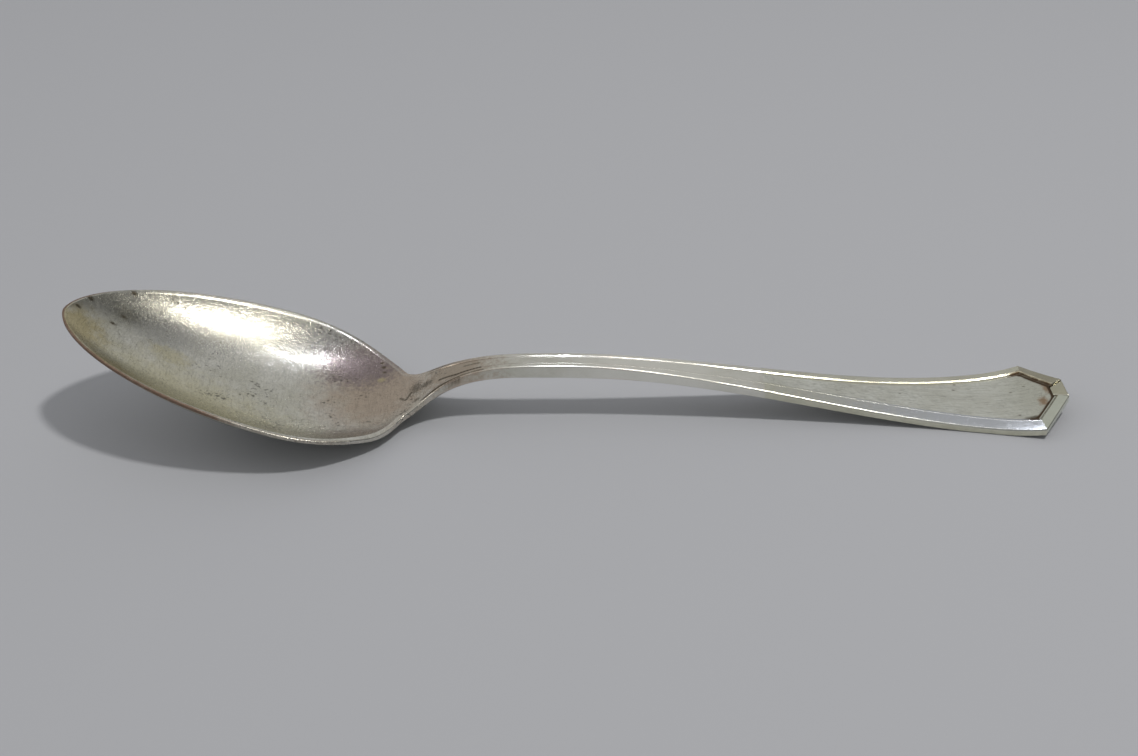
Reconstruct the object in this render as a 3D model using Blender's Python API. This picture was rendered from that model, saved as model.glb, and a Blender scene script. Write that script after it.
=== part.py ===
"""Serving spoon with a bordered handle, in metres, +Z up.

The spoon lies on its bowl and on the underside of its handle, on the plane z = 0.
+X runs from the bowl's tip to the handle's end, and the origin is midway between them.
A piece is named left or right as seen by someone who holds the handle.
"""

import math

import bmesh
import bpy
from mathutils import Vector

# Bowl, with places measured from its tip
LENGTH = 0.2100
BOWL_WIDTH = 0.0456
BOWL_WIDEST = 0.0440
RIM_TILT = math.radians(19.3)
RIM_WIDTH = 0.0010
RIM_CROWN = 0.00012
RIM_EDGE = 0.0006
RIM_AT_NECK = 0.0006
BOWL_LOWEST = 0.0585
BOWL_WALL = 0.0012
REST_WEAR = 0.0001

# Neck and stem, with places measured from the bowl's tip
NECK = 0.0720
NECK_WIDTH = 0.0127
NECK_HEIGHT = 0.0055
NECK_EDGE = 0.0012
NECK_BELLY = 0.0016
NECK_ROUND = 0.0046
HEEL_BACK = 0.0014
CREST = 0.1010
CREST_HEIGHT = 0.0127
WAIST = 0.1070
STEM_WIDTH = 0.0054
STEM_EDGE = 0.0028
STEM_BELLY = 0.0006
STEM_END = 0.1450

# Handle, with places measured from its end
DIP = 0.0170
UPTURN = 0.0031
HANDLE_EDGE = 0.0015
SHOULDER = 0.0068
SHOULDER_WIDTH = 0.0243
END_WIDTH = 0.0061
KEY_LENGTH = 0.0029
KEY_INNER_WIDTH = 0.0031

# Raised border
BORDER_FULL = 0.0430
BORDER_WIDTH = 0.0037
BORDER_RISE = 0.0005
STEM_BORDER_WIDTH = 0.00165
STEM_BORDER_RISE = 0.0002
BAR_WIDTH = 0.0029
BAR_LIFT = 0.00045
PANEL_SINK = 0.00025
FLANK = 0.0005
TOP_ROUND = 0.0005
EDGE_ROUND = 0.0004
SEAM = 0.0003

# Curve shapes, plain numbers
TIP_CURVE = 0.58
BOWL_SECTION = 2.7
NOSE_CURVE = 2.05
NECK_CURVE = 3.15
TAPER = 1.61
TAPER_GAIN = 0.38
UPTURN_CURVE = 2.1
NECK_BLEND = 3.0
NECK_FLARE = 4.8
RIDGE_FADE = 3.0
HEEL_THICKENING = 4.0
ROUND_MIDDLE = 0.29

# Mesh counts and shading
BOWL_ROWS = 18
HEEL_ROWS = 20
BOWL_COLUMNS = 20
STEM_ROWS = 40
HANDLE_ROWS = 26
BAR_ROWS = 6
CREASE = math.radians(28)

# Places along X that several pieces share
TIP_X = -LENGTH / 2
WIDEST_X = TIP_X + BOWL_WIDEST
LOWEST_X = TIP_X + BOWL_LOWEST
NECK_X = TIP_X + NECK
HEEL_X = NECK_X - HEEL_BACK
CREST_X = TIP_X + CREST
WAIST_X = TIP_X + WAIST
STEM_END_X = TIP_X + STEM_END
END_X = LENGTH / 2
DIP_X = END_X - DIP
SHOULDER_X = END_X - SHOULDER
BORDER_FULL_X = END_X - BORDER_FULL
KEY_X = END_X - KEY_LENGTH

# Finish of each piece: colour, roughness
FINISHES = {
    "bowl": ((0.72, 0.70, 0.62), 0.34),
    "stem": ((0.66, 0.65, 0.58), 0.28),
    "handle_panel": ((0.58, 0.59, 0.54), 0.38),
    "side_border_left": ((0.64, 0.66, 0.69), 0.30),
    "side_border_right": ((0.78, 0.76, 0.66), 0.26),
    "end_border_left": ((0.60, 0.61, 0.55), 0.32),
    "end_border_right": ((0.56, 0.55, 0.48), 0.34),
    "tip_keystone": ((0.57, 0.57, 0.50), 0.34),
}


def mix(a, b, t):
    """The value a share t of the way from a to b."""
    return a + (b - a) * t


def ease(t):
    """A smooth step from 0 to 1, level at both ends."""
    t = min(max(t, 0.0), 1.0)
    return t * t * (3 - 2 * t)


def share(x, start, end):
    """How far x lies from start to end, from 0 to 1."""
    return (x - start) / (end - start)


def soft_max(a, b, blend):
    """The larger of two heights, with their crossing rounded over blend."""
    near = max(blend - abs(a - b), 0.0) / blend
    return max(a, b) + near * near * blend / 4


def hermite(t, low, high, slope):
    """A cubic that leaves low level and reaches high with this rise per unit of t."""
    return mix(low, high, ease(t)) + slope * (t - 1) * t * t


def rim_plane(x):
    """Height of the tilted plane that the bowl's rim lies in."""
    return RIM_AT_NECK + (NECK_X - x) * math.tan(RIM_TILT)


def neck_slope():
    """Rise of the stem's upper edge per unit length where it leaves the bowl."""
    return NECK_CURVE * (CREST_HEIGHT - NECK_HEIGHT) / (CREST_X - NECK_X)


def back_slope():
    """Rise of the stem's underside per unit length where it leaves the bowl."""
    return neck_slope() - 2 * (STEM_EDGE - NECK_EDGE) / (WAIST_X - NECK_X)


def edge_height(x):
    """Height of the upper outer edge, from the bowl's rim to the handle's end."""
    if x > DIP_X:
        return HANDLE_EDGE + UPTURN * share(x, DIP_X, END_X) ** UPTURN_CURVE
    if x > CREST_X:
        return mix(CREST_HEIGHT, HANDLE_EDGE, ease(share(x, CREST_X, DIP_X)))
    if x > NECK_X:
        drop = share(x, CREST_X, NECK_X) ** NECK_CURVE
        stem = mix(CREST_HEIGHT, NECK_HEIGHT, drop)
    else:
        stem = NECK_HEIGHT + neck_slope() * (x - NECK_X)
    return soft_max(stem, rim_plane(x), NECK_ROUND)


def stem_half_width(x):
    """Half the width of the stem and handle, at the outer edge."""
    if x < WAIST_X:
        return mix(STEM_WIDTH, NECK_WIDTH, share(x, WAIST_X, NECK_X) ** NECK_FLARE) / 2
    t = share(x, WAIST_X, SHOULDER_X)
    return mix(STEM_WIDTH, SHOULDER_WIDTH, t ** (TAPER + TAPER_GAIN * t)) / 2


def bowl_half_width(x, inset=0.0):
    """Half the width of the bowl's rim, or of a line that lies inset from it."""
    widest = BOWL_WIDTH / 2 - inset
    if x < WIDEST_X:
        t = share(x, WIDEST_X, TIP_X + inset)
        return widest * max(1 - t * t, 0.0) ** TIP_CURVE
    t = min(share(x, WIDEST_X, HEEL_X - inset), 1.0)
    heel = widest * math.sqrt(1 - t * t)
    stem = (NECK_WIDTH / 2 - inset) * ease(share(x, WIDEST_X, NECK_X))
    return (heel**NECK_BLEND + stem**NECK_BLEND) ** (1 / NECK_BLEND)


def edge_depth(x):
    """Height of the upright outer wall under the upper edge of the stem and handle."""
    if x < WAIST_X:
        return mix(STEM_EDGE, NECK_EDGE, share(x, WAIST_X, NECK_X) ** 2)
    return mix(HANDLE_EDGE, STEM_EDGE, max(share(x, DIP_X, WAIST_X), 0.0) ** 2)


def belly(x):
    """How far the underside swells below the bottom of the outer wall."""
    if x < WAIST_X:
        return mix(STEM_BELLY, NECK_BELLY, ease(share(x, WAIST_X, NECK_X)))
    return mix(STEM_BELLY, 0.0, ease(share(x, WAIST_X, STEM_END_X)))


def border_ease(x):
    """How far the border has grown from its stem size to its handle size."""
    return ease(share(x, WAIST_X, BORDER_FULL_X))


def border_width(x):
    """Width of the side border across the handle, with the flank that rises from the panel."""
    return mix(STEM_BORDER_WIDTH, BORDER_WIDTH, border_ease(x))


def border_rise(x):
    """Height of the border's ridge above the outer edge, which fades out at the neck."""
    if x < WAIST_X:
        return mix(STEM_BORDER_RISE, 0.0, share(x, WAIST_X, NECK_X) ** RIDGE_FADE)
    return mix(STEM_BORDER_RISE, BORDER_RISE, border_ease(x))


def panel_rise(x):
    """Height of the panel's surface above the outer edge."""
    return border_rise(x) - min(PANEL_SINK, border_rise(x) / 2)


def on_table(z):
    """A height with the worn underside cut flat where the spoon rests."""
    return max(z - REST_WEAR, 0.0)


def underside(x):
    """Height of the bottom of the outer wall."""
    return on_table(edge_height(x) - edge_depth(x))


def finish(name):
    """The metal of one piece, from FINISHES."""
    colour, roughness = FINISHES[name]
    material = bpy.data.materials.new(name + "_metal")
    material.use_nodes = True
    shader = material.node_tree.nodes["Principled BSDF"]
    shader.inputs["Base Color"].default_value = (*colour, 1.0)
    shader.inputs["Metallic"].default_value = 1.0
    shader.inputs["Roughness"].default_value = roughness
    return material


def add_part(name, bm, parent):
    """Makes one named object from a closed bmesh."""
    bmesh.ops.recalc_face_normals(bm, faces=bm.faces)
    mesh = bpy.data.meshes.new(name)
    bm.to_mesh(mesh)
    bm.free()
    mesh.shade_smooth()
    mesh.set_sharp_from_angle(angle=CREASE)
    mesh.materials.append(finish(name))
    part = bpy.data.objects.new(name, mesh)
    bpy.context.scene.collection.objects.link(part)
    part.parent = parent


def skin(bm, rows):
    """Quads between rows of vertices that all have the same count."""
    for first, second in zip(rows, rows[1:]):
        for i in range(len(first) - 1):
            corners = [first[i], first[i + 1], second[i + 1], second[i]]
            corners = list(dict.fromkeys(corners))
            if len(corners) > 2:
                bm.faces.new(corners)


def loft(name, rings, parent):
    """A solid through closed rings of points, with a flat cap at each end."""
    bm = bmesh.new()
    rows = [[bm.verts.new(point) for point in ring] for ring in rings]
    skin(bm, [row + row[:1] for row in rows])
    bm.faces.new(rows[0])
    bm.faces.new(rows[-1])
    add_part(name, bm, parent)


def steps(start, end, count):
    """Evenly spaced values from start to end."""
    return [mix(start, end, i / count) for i in range(count + 1)]


def bowl_stations(tip):
    """Places along the bowl, closer together at the tip and in the neck's curve."""
    nose = [mix(WIDEST_X, tip, math.cos(a)) for a in steps(0, math.pi / 2, BOWL_ROWS)]
    heel = [mix(WIDEST_X, NECK_X, math.sin(a)) for a in steps(0, math.pi / 2, HEEL_ROWS)]
    return nose + heel[1:]


def axis_height(x, low, tip, neck, slope):
    """Height on the bowl's centre line: a rising nose, and a heel that joins the stem.

    low, tip and neck are heights, and slope is the rise per unit length at the neck.
    """
    if x < LOWEST_X:
        return mix(low, tip, share(x, LOWEST_X, TIP_X) ** NOSE_CURVE)
    t = share(x, LOWEST_X, NECK_X)
    return hermite(t, low, neck, slope * (NECK_X - LOWEST_X))


def inner_point(x, across):
    """A point on the hollow side of the bowl, with across from -1 to 1 between the rims."""
    tip_share = share(TIP_X + RIM_WIDTH, LOWEST_X, TIP_X) ** NOSE_CURVE
    tip = mix(BOWL_WALL, edge_height(TIP_X + RIM_WIDTH), 1 / tip_share)
    centre = axis_height(x, BOWL_WALL, tip, edge_height(NECK_X), neck_slope())
    height = mix(centre, edge_height(x), abs(across) ** BOWL_SECTION)
    return Vector((x, bowl_half_width(x, RIM_WIDTH) * across, height))


def outer_point(x, across):
    """A point on the bowl's underside, with across from -1 to 1 between its outer edges."""
    heel = max(share(x, WIDEST_X, NECK_X), 0.0)
    side = edge_height(x) - mix(RIM_EDGE, NECK_EDGE, heel**HEEL_THICKENING)
    neck = edge_height(NECK_X) - NECK_EDGE - NECK_BELLY
    centre = axis_height(x, 0.0, edge_height(TIP_X) - RIM_EDGE, neck, back_slope())
    height = on_table(mix(centre, side, abs(across) ** BOWL_SECTION))
    return Vector((x, bowl_half_width(x) * across, height))


def make_bowl(parent):
    """The shallow pointed bowl: hollow, rim and underside in one closed shell."""
    bm = bmesh.new()
    across = steps(-1.0, 1.0, BOWL_COLUMNS)

    def grid(point, tip):
        rows = [[bm.verts.new(point(tip, 0.0))] * len(across)]
        for x in bowl_stations(tip)[1:]:
            rows.append([bm.verts.new(point(x, side)) for side in across])
        return rows

    hollow = grid(inner_point, TIP_X + RIM_WIDTH)
    under = grid(outer_point, TIP_X)
    last = len(under) - 1
    round_the_rim = [(i, 0) for i in range(last, 0, -1)] + [(i, -1) for i in range(last + 1)]
    lip = []
    for i, side in round_the_rim:
        inner, outer = hollow[i][side], under[i][side]
        top = Vector((outer.co.x, outer.co.y, edge_height(outer.co.x)))
        crest = (inner.co + top) / 2 + Vector((0, 0, RIM_CROWN))
        lip.append([inner, bm.verts.new(crest), bm.verts.new(top), outer])
    for rows in (hollow, under, lip):
        skin(bm, rows)
    bm.faces.new(hollow[last] + lip[-1][1:3] + under[last][::-1] + lip[0][2:0:-1])
    add_part("bowl", bm, parent)


def stem_ring(x):
    """One section of the stem: centre channel, ridges, sloping bands, walls and rounded back."""
    half = stem_half_width(x)
    top = edge_height(x)
    foot = half - border_width(x)
    low = underside(x)
    side = [
        (0.0, top + panel_rise(x)),
        (foot, top + panel_rise(x)),
        (foot + FLANK, top + border_rise(x)),
        (half - TOP_ROUND, top),
        (half - TOP_ROUND * ROUND_MIDDLE, top - TOP_ROUND * ROUND_MIDDLE),
        (half, top - TOP_ROUND),
        (half, low + EDGE_ROUND),
        (half - EDGE_ROUND, low),
        (half / 2, on_table(low - belly(x) * 3 / 4)),
        (0.0, on_table(low - belly(x))),
    ]
    right = [Vector((x, y, z)) for y, z in side]
    left = [Vector((x, -y, z)) for y, z in side[-2:0:-1]]
    return right + left


def make_stem(parent):
    """The arched stem from the neck to the start of the panel."""
    places = steps(NECK_X + SEAM, STEM_END_X, STEM_ROWS)
    loft("stem", [stem_ring(x) for x in places], parent)


def foot_line(x):
    """Distance of the side border's inner edge from the centre line."""
    return stem_half_width(x) - border_width(x)


def bar_outer_line(x):
    """Distance of the slanted end's outer edge from the centre line."""
    return mix(SHOULDER_WIDTH, END_WIDTH, share(x, SHOULDER_X, END_X)) / 2


def bar_inner_line(x, gap=0.0):
    """Distance of the end bar's inner edge from the centre line, or of a line that clears it."""
    slant = math.hypot(1.0, (SHOULDER_WIDTH - END_WIDTH) / 2 / SHOULDER)
    return bar_outer_line(x) - (BAR_WIDTH + gap) * slant


def key_line(x):
    """Distance of the keystone's side from the centre line."""
    return mix(KEY_INNER_WIDTH, END_WIDTH, share(x, KEY_X, END_X)) / 2


def crossing(first, second, low, high):
    """The place between low and high where two lines meet, by halving."""
    rising = first(high) > second(high)
    for _ in range(60):
        middle = (low + high) / 2
        if (first(middle) > second(middle)) == rising:
            high = middle
        else:
            low = middle
    return (low + high) / 2


def corner_places():
    """Where the bar's inner edge meets the side border's inner edge and the keystone's side."""
    corner = crossing(foot_line, bar_inner_line, SHOULDER_X - BORDER_WIDTH, END_X)
    key = crossing(key_line, bar_inner_line, corner, END_X)
    return corner, key


def make_panel(parent):
    """The plain sunk panel, which ends in a point cut off by the keystone."""
    corner, _ = corner_places()
    places = steps(STEM_END_X + SEAM, corner - SEAM, HANDLE_ROWS)
    places += steps(corner, KEY_X - SEAM, BAR_ROWS)
    rings = []
    for x in places:
        half = min(foot_line(x) - SEAM, bar_inner_line(x, SEAM))
        top = edge_height(x) + panel_rise(x)
        low = underside(x)
        outline = [(half, low), (half, top), (0.0, top), (-half, top), (-half, low), (0.0, low)]
        rings.append([Vector((x, y, z)) for y, z in outline])
    loft("handle_panel", rings, parent)


def border_section(inner, outer, rise, lift):
    """A ring across a raised border, from its foot on the panel to its rounded outer edge.

    inner and outer are plan points of its two edges, and rise and lift are the heights
    of its ridge and of its outer edge above the handle's own edge line.
    """
    width = (outer - inner).length
    top_round = TOP_ROUND / width
    tops = [
        (0.0, panel_rise(inner.x)),
        (FLANK / width, rise),
        (1 - top_round, lift),
        (1 - top_round * ROUND_MIDDLE, lift - TOP_ROUND * ROUND_MIDDLE),
        (1.0, lift - TOP_ROUND),
    ]
    ring = []
    for across, above in tops:
        point = inner.lerp(outer, across)
        ring.append(Vector((*point, edge_height(point.x) + above)))
    for across, above in ((1.0, EDGE_ROUND), (1 - EDGE_ROUND / width, 0.0), (0.0, 0.0)):
        point = inner.lerp(outer, across)
        ring.append(Vector((*point, underside(point.x) + above)))
    return ring


def make_side_border(name, sign, parent):
    """A raised band along one side of the panel, mitred at the shoulder."""
    corner, _ = corner_places()
    inner_places = steps(STEM_END_X + SEAM, corner - SEAM, HANDLE_ROWS)
    outer_places = steps(STEM_END_X + SEAM, SHOULDER_X - SEAM, HANDLE_ROWS)
    rings = []
    for inner_x, outer_x in zip(inner_places, outer_places):
        inner = Vector((inner_x, sign * foot_line(inner_x)))
        outer = Vector((outer_x, sign * stem_half_width(outer_x)))
        rings.append(border_section(inner, outer, border_rise(inner_x), 0.0))
    loft(name, rings, parent)


def make_end_border(name, sign, parent):
    """A raised bar along one slanted side of the end, between the shoulder and the keystone."""
    corner, key = corner_places()
    inner_ends = [Vector((x, sign * bar_inner_line(x))) for x in (corner, key)]
    outer_ends = [Vector((x, sign * bar_outer_line(x))) for x in (SHOULDER_X, END_X)]
    reach = (inner_ends[1] - inner_ends[0]).length
    rings = []
    for along in steps(SEAM / reach, 1 - SEAM / reach, BAR_ROWS):
        inner = inner_ends[0].lerp(inner_ends[1], along)
        outer = outer_ends[0].lerp(outer_ends[1], along)
        rings.append(border_section(inner, outer, BORDER_RISE, BAR_LIFT * along))
    loft(name, rings, parent)


def make_keystone(parent):
    """The small wedge between the two end bars."""
    rings = []
    for x in steps(KEY_X, END_X, BAR_ROWS):
        half = key_line(x)
        top = edge_height(x) + mix(BORDER_RISE, BAR_LIFT, share(x, KEY_X, END_X))
        low = underside(x)
        outline = [
            (half, low),
            (half, top - EDGE_ROUND / 2),
            (half - EDGE_ROUND, top),
            (0.0, top),
            (EDGE_ROUND - half, top),
            (-half, top - EDGE_ROUND / 2),
            (-half, low),
        ]
        rings.append([Vector((x, y, z)) for y, z in outline])
    loft("tip_keystone", rings, parent)


def main():
    """Clears the scene and builds the spoon under one empty."""
    for old in list(bpy.data.objects):
        bpy.data.objects.remove(old, do_unlink=True)
    spoon = bpy.data.objects.new("serving_spoon", None)
    bpy.context.scene.collection.objects.link(spoon)
    make_bowl(spoon)
    make_stem(spoon)
    make_panel(spoon)
    for side, sign in (("left", -1), ("right", 1)):
        make_side_border("side_border_" + side, sign, spoon)
        make_end_border("end_border_" + side, sign, spoon)
    make_keystone(spoon)


main()
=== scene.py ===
"""The looks of a worn silver-plated serving spoon: fine meshes, finishes, floor, light and camera.

Metres, +Z up. +X runs from the bowl's tip to the handle's end, the table is z = 0, and a piece is
named left or right as seen by someone who holds the handle.
"""

import logging
import math
from dataclasses import dataclass, field, replace
from enum import Enum
from functools import cached_property
from typing import Callable, Sequence, Union

import bmesh
import bpy
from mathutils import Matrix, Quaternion, Vector


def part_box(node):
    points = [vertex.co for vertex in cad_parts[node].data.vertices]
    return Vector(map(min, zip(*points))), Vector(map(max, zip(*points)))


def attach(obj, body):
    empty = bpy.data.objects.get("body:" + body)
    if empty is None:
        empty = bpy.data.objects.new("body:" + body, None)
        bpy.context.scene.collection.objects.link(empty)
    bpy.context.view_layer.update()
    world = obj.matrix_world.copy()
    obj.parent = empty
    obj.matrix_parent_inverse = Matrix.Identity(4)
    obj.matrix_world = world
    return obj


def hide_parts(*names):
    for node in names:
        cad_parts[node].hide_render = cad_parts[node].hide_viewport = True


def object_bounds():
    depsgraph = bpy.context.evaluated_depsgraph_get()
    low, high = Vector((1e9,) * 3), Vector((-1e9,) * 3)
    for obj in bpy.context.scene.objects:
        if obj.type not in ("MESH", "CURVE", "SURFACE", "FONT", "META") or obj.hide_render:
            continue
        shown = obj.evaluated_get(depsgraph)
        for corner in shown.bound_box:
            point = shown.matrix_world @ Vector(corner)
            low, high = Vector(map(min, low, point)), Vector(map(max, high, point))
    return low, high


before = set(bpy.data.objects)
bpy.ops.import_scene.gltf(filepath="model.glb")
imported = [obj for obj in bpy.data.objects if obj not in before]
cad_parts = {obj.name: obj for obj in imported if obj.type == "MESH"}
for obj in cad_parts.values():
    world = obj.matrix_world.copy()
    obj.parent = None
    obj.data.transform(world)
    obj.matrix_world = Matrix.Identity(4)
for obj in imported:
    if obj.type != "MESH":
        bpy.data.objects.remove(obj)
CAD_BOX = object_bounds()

LOG = logging.getLogger("serving_spoon")
BODY = "root"
ARC_STEPS = 6  # steps round a corner
MOST_REACH = 0.48  # most of a side that a rounding takes
SLOPE_STEP = 0.00001  # length that a slope is taken over
HALVINGS = 50  # halvings that find a crossing
SAME_DIGITS = 8  # decimals in which two points at one place agree
FLAT = 1e-7  # half width of an end that is folded flat
SHARP = math.radians(50)  # turn between faces that stays a sharp edge
NOISE_MIDDLE = 0.5  # value that a noise lies about
MIX_FACTOR, MIX_FIRST, MIX_SECOND, MIX_RESULT = 0, 6, 7, 2  # sockets of a Mix node for colours

Place = tuple[float, float, float]
Colour = tuple[float, float, float]
Span = tuple[float, float]
Source = Union[float, Sequence[float], bpy.types.NodeSocket]


class Side(Enum):
    """A side of the handle, as the sign of its Y."""

    LEFT = -1
    RIGHT = 1


class StainOn(Enum):
    """What a stain clings to, as the name of the mask on the mesh."""

    SURFACE = "surface"
    WORN_EDGE = "wear"
    CREVICE = "grime"
    UPPER_SIDE = "upper"
    UNDERSIDE = "under"


def mix(a: float, b: float, t: float) -> float:
    """The value a share t of the way from a to b."""
    return a + (b - a) * t


def ease(t: float) -> float:
    """A smooth step from 0 to 1, level at both ends."""
    t = min(max(t, 0.0), 1.0)
    return t * t * (3 - 2 * t)


def share(x: float, start: float, end: float) -> float:
    """How far x lies on the way from start, at 0, to end, at 1."""
    return (x - start) / (end - start)


def steps(start: float, end: float, count: int) -> list[float]:
    """Evenly spaced values from start to end."""
    return [mix(start, end, i / count) for i in range(count + 1)]


def soft_max(a: float, b: float, blend: float) -> float:
    """The larger of two heights, with their crossing rounded over blend."""
    near = max(blend - abs(a - b), 0.0) / blend
    return max(a, b) + near * near * blend / 4


def eased_edge(distance: float, size: float) -> float:
    """How far a rounded edge of this size drops at a distance from its end."""
    return size - math.sqrt(size**2 - max(size - distance, 0.0) ** 2)


@dataclass(frozen=True)
class Spot:
    """A point on the metal, with how worn and how grimy it is there."""

    at: Vector
    wear: float = 0.0
    grime: float = 0.0


@dataclass(frozen=True)
class Corner:
    """A corner of a section: its place, how far back it is rounded, and the masks on it."""

    at: Vector
    reach: float = 0.0
    wear: float = 0.0
    grime: float = 0.0


def rounded(corners: Sequence[Corner]) -> list[Spot]:
    """Rounds the inner corners of an open line.

    Args:
        corners: The line's corners in order. The first and the last are kept as they are.

    Returns:
        The spots along the line, as many for each run of corners with the same reaches.
    """
    first, last = corners[0], corners[-1]
    spots = [Spot(first.at, first.wear, first.grime)]
    for before, corner, after in zip(corners, corners[1:], corners[2:]):
        if corner.reach == 0:
            spots.append(Spot(corner.at, corner.wear, corner.grime))
            continue
        back = before.at - corner.at
        ahead = after.at - corner.at
        start = corner.at + back.normalized() * min(corner.reach, back.length * MOST_REACH)
        end = corner.at + ahead.normalized() * min(corner.reach, ahead.length * MOST_REACH)
        least = min(before.grime, corner.grime, after.grime)
        for t in steps(0.0, 1.0, ARC_STEPS):
            at = start * (1 - t) ** 2 + corner.at * 2 * t * (1 - t) + end * t**2
            crown = math.sin(math.pi * t)
            spots.append(Spot(at, corner.wear * crown, max(corner.grime * crown, least)))
    spots.append(Spot(last.at, last.wear, last.grime))
    return spots


def mirrored(half: Sequence[Spot]) -> list[Spot]:
    """A whole ring from its right half, which starts and ends on the middle plane."""
    left = [replace(spot, at=spot.at * Vector((1, -1, 1))) for spot in half[-2:0:-1]]
    return list(half) + left


@dataclass(frozen=True)
class SpoonForm:
    """The lines that all the pieces share.

    Places lie along X, and heights above the table. A power bends a line between two sizes.
    """

    # Ends of the frame's solids
    tip: float
    neck: float
    stem_end: float
    end: float
    bowl_half: float
    end_half: float
    # Bowl
    widest_from_tip: float = 0.0440
    lowest_from_tip: float = 0.0585
    rim_tilt: float = math.radians(19.3)
    rim_at_neck: float = 0.0006
    rim_depth: float = 0.0006
    bowl_wall: float = 0.0012
    rest_wear: float = 0.0001
    # Heel and neck
    neck_half: float = 0.00625
    neck_flare_power: float = 5.43
    flare_start: float = 0.0184
    flare_full: float = 0.0020
    neck_height: float = 0.0052
    neck_depth: float = 0.0013
    neck_belly: float = 0.0016
    neck_round: float = 0.0070
    heel_back: float = 0.0027
    heel_blend_power: float = 4.0
    # Stem
    neck_to_crest: float = 0.0290
    crest_height: float = 0.0127
    neck_to_waist: float = 0.0350
    stem_half: float = 0.0027
    stem_depth: float = 0.0028
    stem_belly: float = 0.0006
    # Handle
    dip_from_end: float = 0.0170
    upturn: float = 0.0031
    handle_depth: float = 0.0015
    shoulder_from_end: float = 0.0068
    shoulder_half: float = 0.01215
    key_length: float = 0.0029
    key_inner_half: float = 0.00155
    # Border
    border_full_from_end: float = 0.0430
    border_width: float = 0.0037
    border_rise: float = 0.00064
    stem_border_width: float = 0.00165
    stem_border_rise: float = 0.0001
    ridge_fade: float = 0.0045
    bar_width: float = 0.0029
    bar_lift: float = 0.00045
    panel_sink: float = 0.00038
    stem_sink: float = 0.00013
    # Powers of the curves
    bowl_section_power: float = 2.7
    neck_curve_power: float = 3.36
    nose_curve_power: float = 0.58
    nose_rise_power: float = 2.05
    rim_depth_power: float = 4.0
    widening_power: float = 1.61
    late_widening_power: float = 0.38
    upturn_power: float = 2.1

    @classmethod
    def from_frame(cls) -> "SpoonForm":
        """The form between the ends of the frame's solids."""
        bowl_low, bowl_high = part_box("bowl")
        key_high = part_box("tip_keystone")[1]
        return cls(
            tip=bowl_low.x,
            neck=bowl_high.x,
            stem_end=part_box("stem")[1].x,
            end=key_high.x,
            bowl_half=bowl_high.y,
            end_half=key_high.y,
        )

    @property
    def widest(self) -> float:
        """Place of the bowl's greatest width."""
        return self.tip + self.widest_from_tip

    @property
    def lowest(self) -> float:
        """Place of the bowl's lowest point."""
        return self.tip + self.lowest_from_tip

    @property
    def crest(self) -> float:
        """Place of the stem's highest point."""
        return self.neck + self.neck_to_crest

    @property
    def waist(self) -> float:
        """Place of the stem's least width."""
        return self.neck + self.neck_to_waist

    @property
    def dip(self) -> float:
        """Place where the handle lies on the table."""
        return self.end - self.dip_from_end

    @property
    def shoulder(self) -> float:
        """Place of the handle's greatest width."""
        return self.end - self.shoulder_from_end

    @property
    def key_start(self) -> float:
        """Place of the keystone's inner end."""
        return self.end - self.key_length

    def rim_plane(self, x: float) -> float:
        """Height of the tilted plane that the bowl's rim lies in."""
        return self.rim_at_neck + (self.neck - x) * math.tan(self.rim_tilt)

    def arch_slope(self) -> float:
        """Rise per unit length of the stem's arch where it meets the neck."""
        return self.neck_curve_power * (self.crest_height - self.neck_height) / self.neck_to_crest

    def neck_slope(self) -> float:
        """Rise of the stem's upper edge per unit length where it leaves the bowl."""
        ahead = self.neck + SLOPE_STEP
        return (self.edge_height(ahead) - self.edge_height(self.neck)) / SLOPE_STEP

    def back_slope(self) -> float:
        """Rise of the stem's underside per unit length where it leaves the bowl."""
        return self.neck_slope() - 2 * (self.stem_depth - self.neck_depth) / self.neck_to_waist

    def edge_height(self, x: float) -> float:
        """Height of the upper outer edge, from the bowl's rim to the handle's end.

        Args:
            x: The place along the spoon.

        Returns:
            The height above the table.
        """
        if x > self.dip:
            turned = share(x, self.dip, self.end) ** self.upturn_power
            return self.handle_depth + self.upturn * turned
        if x > self.crest:
            return mix(self.crest_height, self.handle_depth, ease(share(x, self.crest, self.dip)))
        if x > self.neck:
            drop = share(x, self.crest, self.neck) ** self.neck_curve_power
            stem = mix(self.crest_height, self.neck_height, drop)
        else:
            stem = self.neck_height + self.arch_slope() * (x - self.neck)
        return soft_max(stem, self.rim_plane(x), self.neck_round)

    def half_width(self, x: float) -> float:
        """Half the width of the stem and handle at the outer edge.

        Args:
            x: A place from the bowl's heel to the shoulder.

        Returns:
            The distance of the edge from the middle plane.
        """
        if x < self.waist:
            flare = share(x, self.waist, self.neck) ** self.neck_flare_power
            return mix(self.stem_half, self.neck_half, flare)
        t = share(x, self.waist, self.shoulder)
        power = self.widening_power + self.late_widening_power * t
        return mix(self.stem_half, self.shoulder_half, t**power)

    def bowl_half_width(self, x: float, inset: float = 0.0) -> float:
        """Half the width of the bowl's rim.

        Args:
            x: A place from the tip to the neck.
            inset: How far inside the rim the line lies.

        Returns:
            The distance of the line from the middle plane.
        """
        widest = self.bowl_half - inset
        if x < self.widest:
            t = share(x, self.widest, self.tip + inset)
            return widest * max(1 - t * t, 0.0) ** self.nose_curve_power
        t = min(share(x, self.widest, self.neck - self.heel_back - inset), 1.0)
        heel = widest * math.sqrt(1 - t * t)
        grown = ease(share(x, self.neck - self.flare_start, self.neck - self.flare_full))
        stem = (self.half_width(x) - inset) * grown
        power = self.heel_blend_power
        return (heel**power + stem**power) ** (1 / power)

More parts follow.
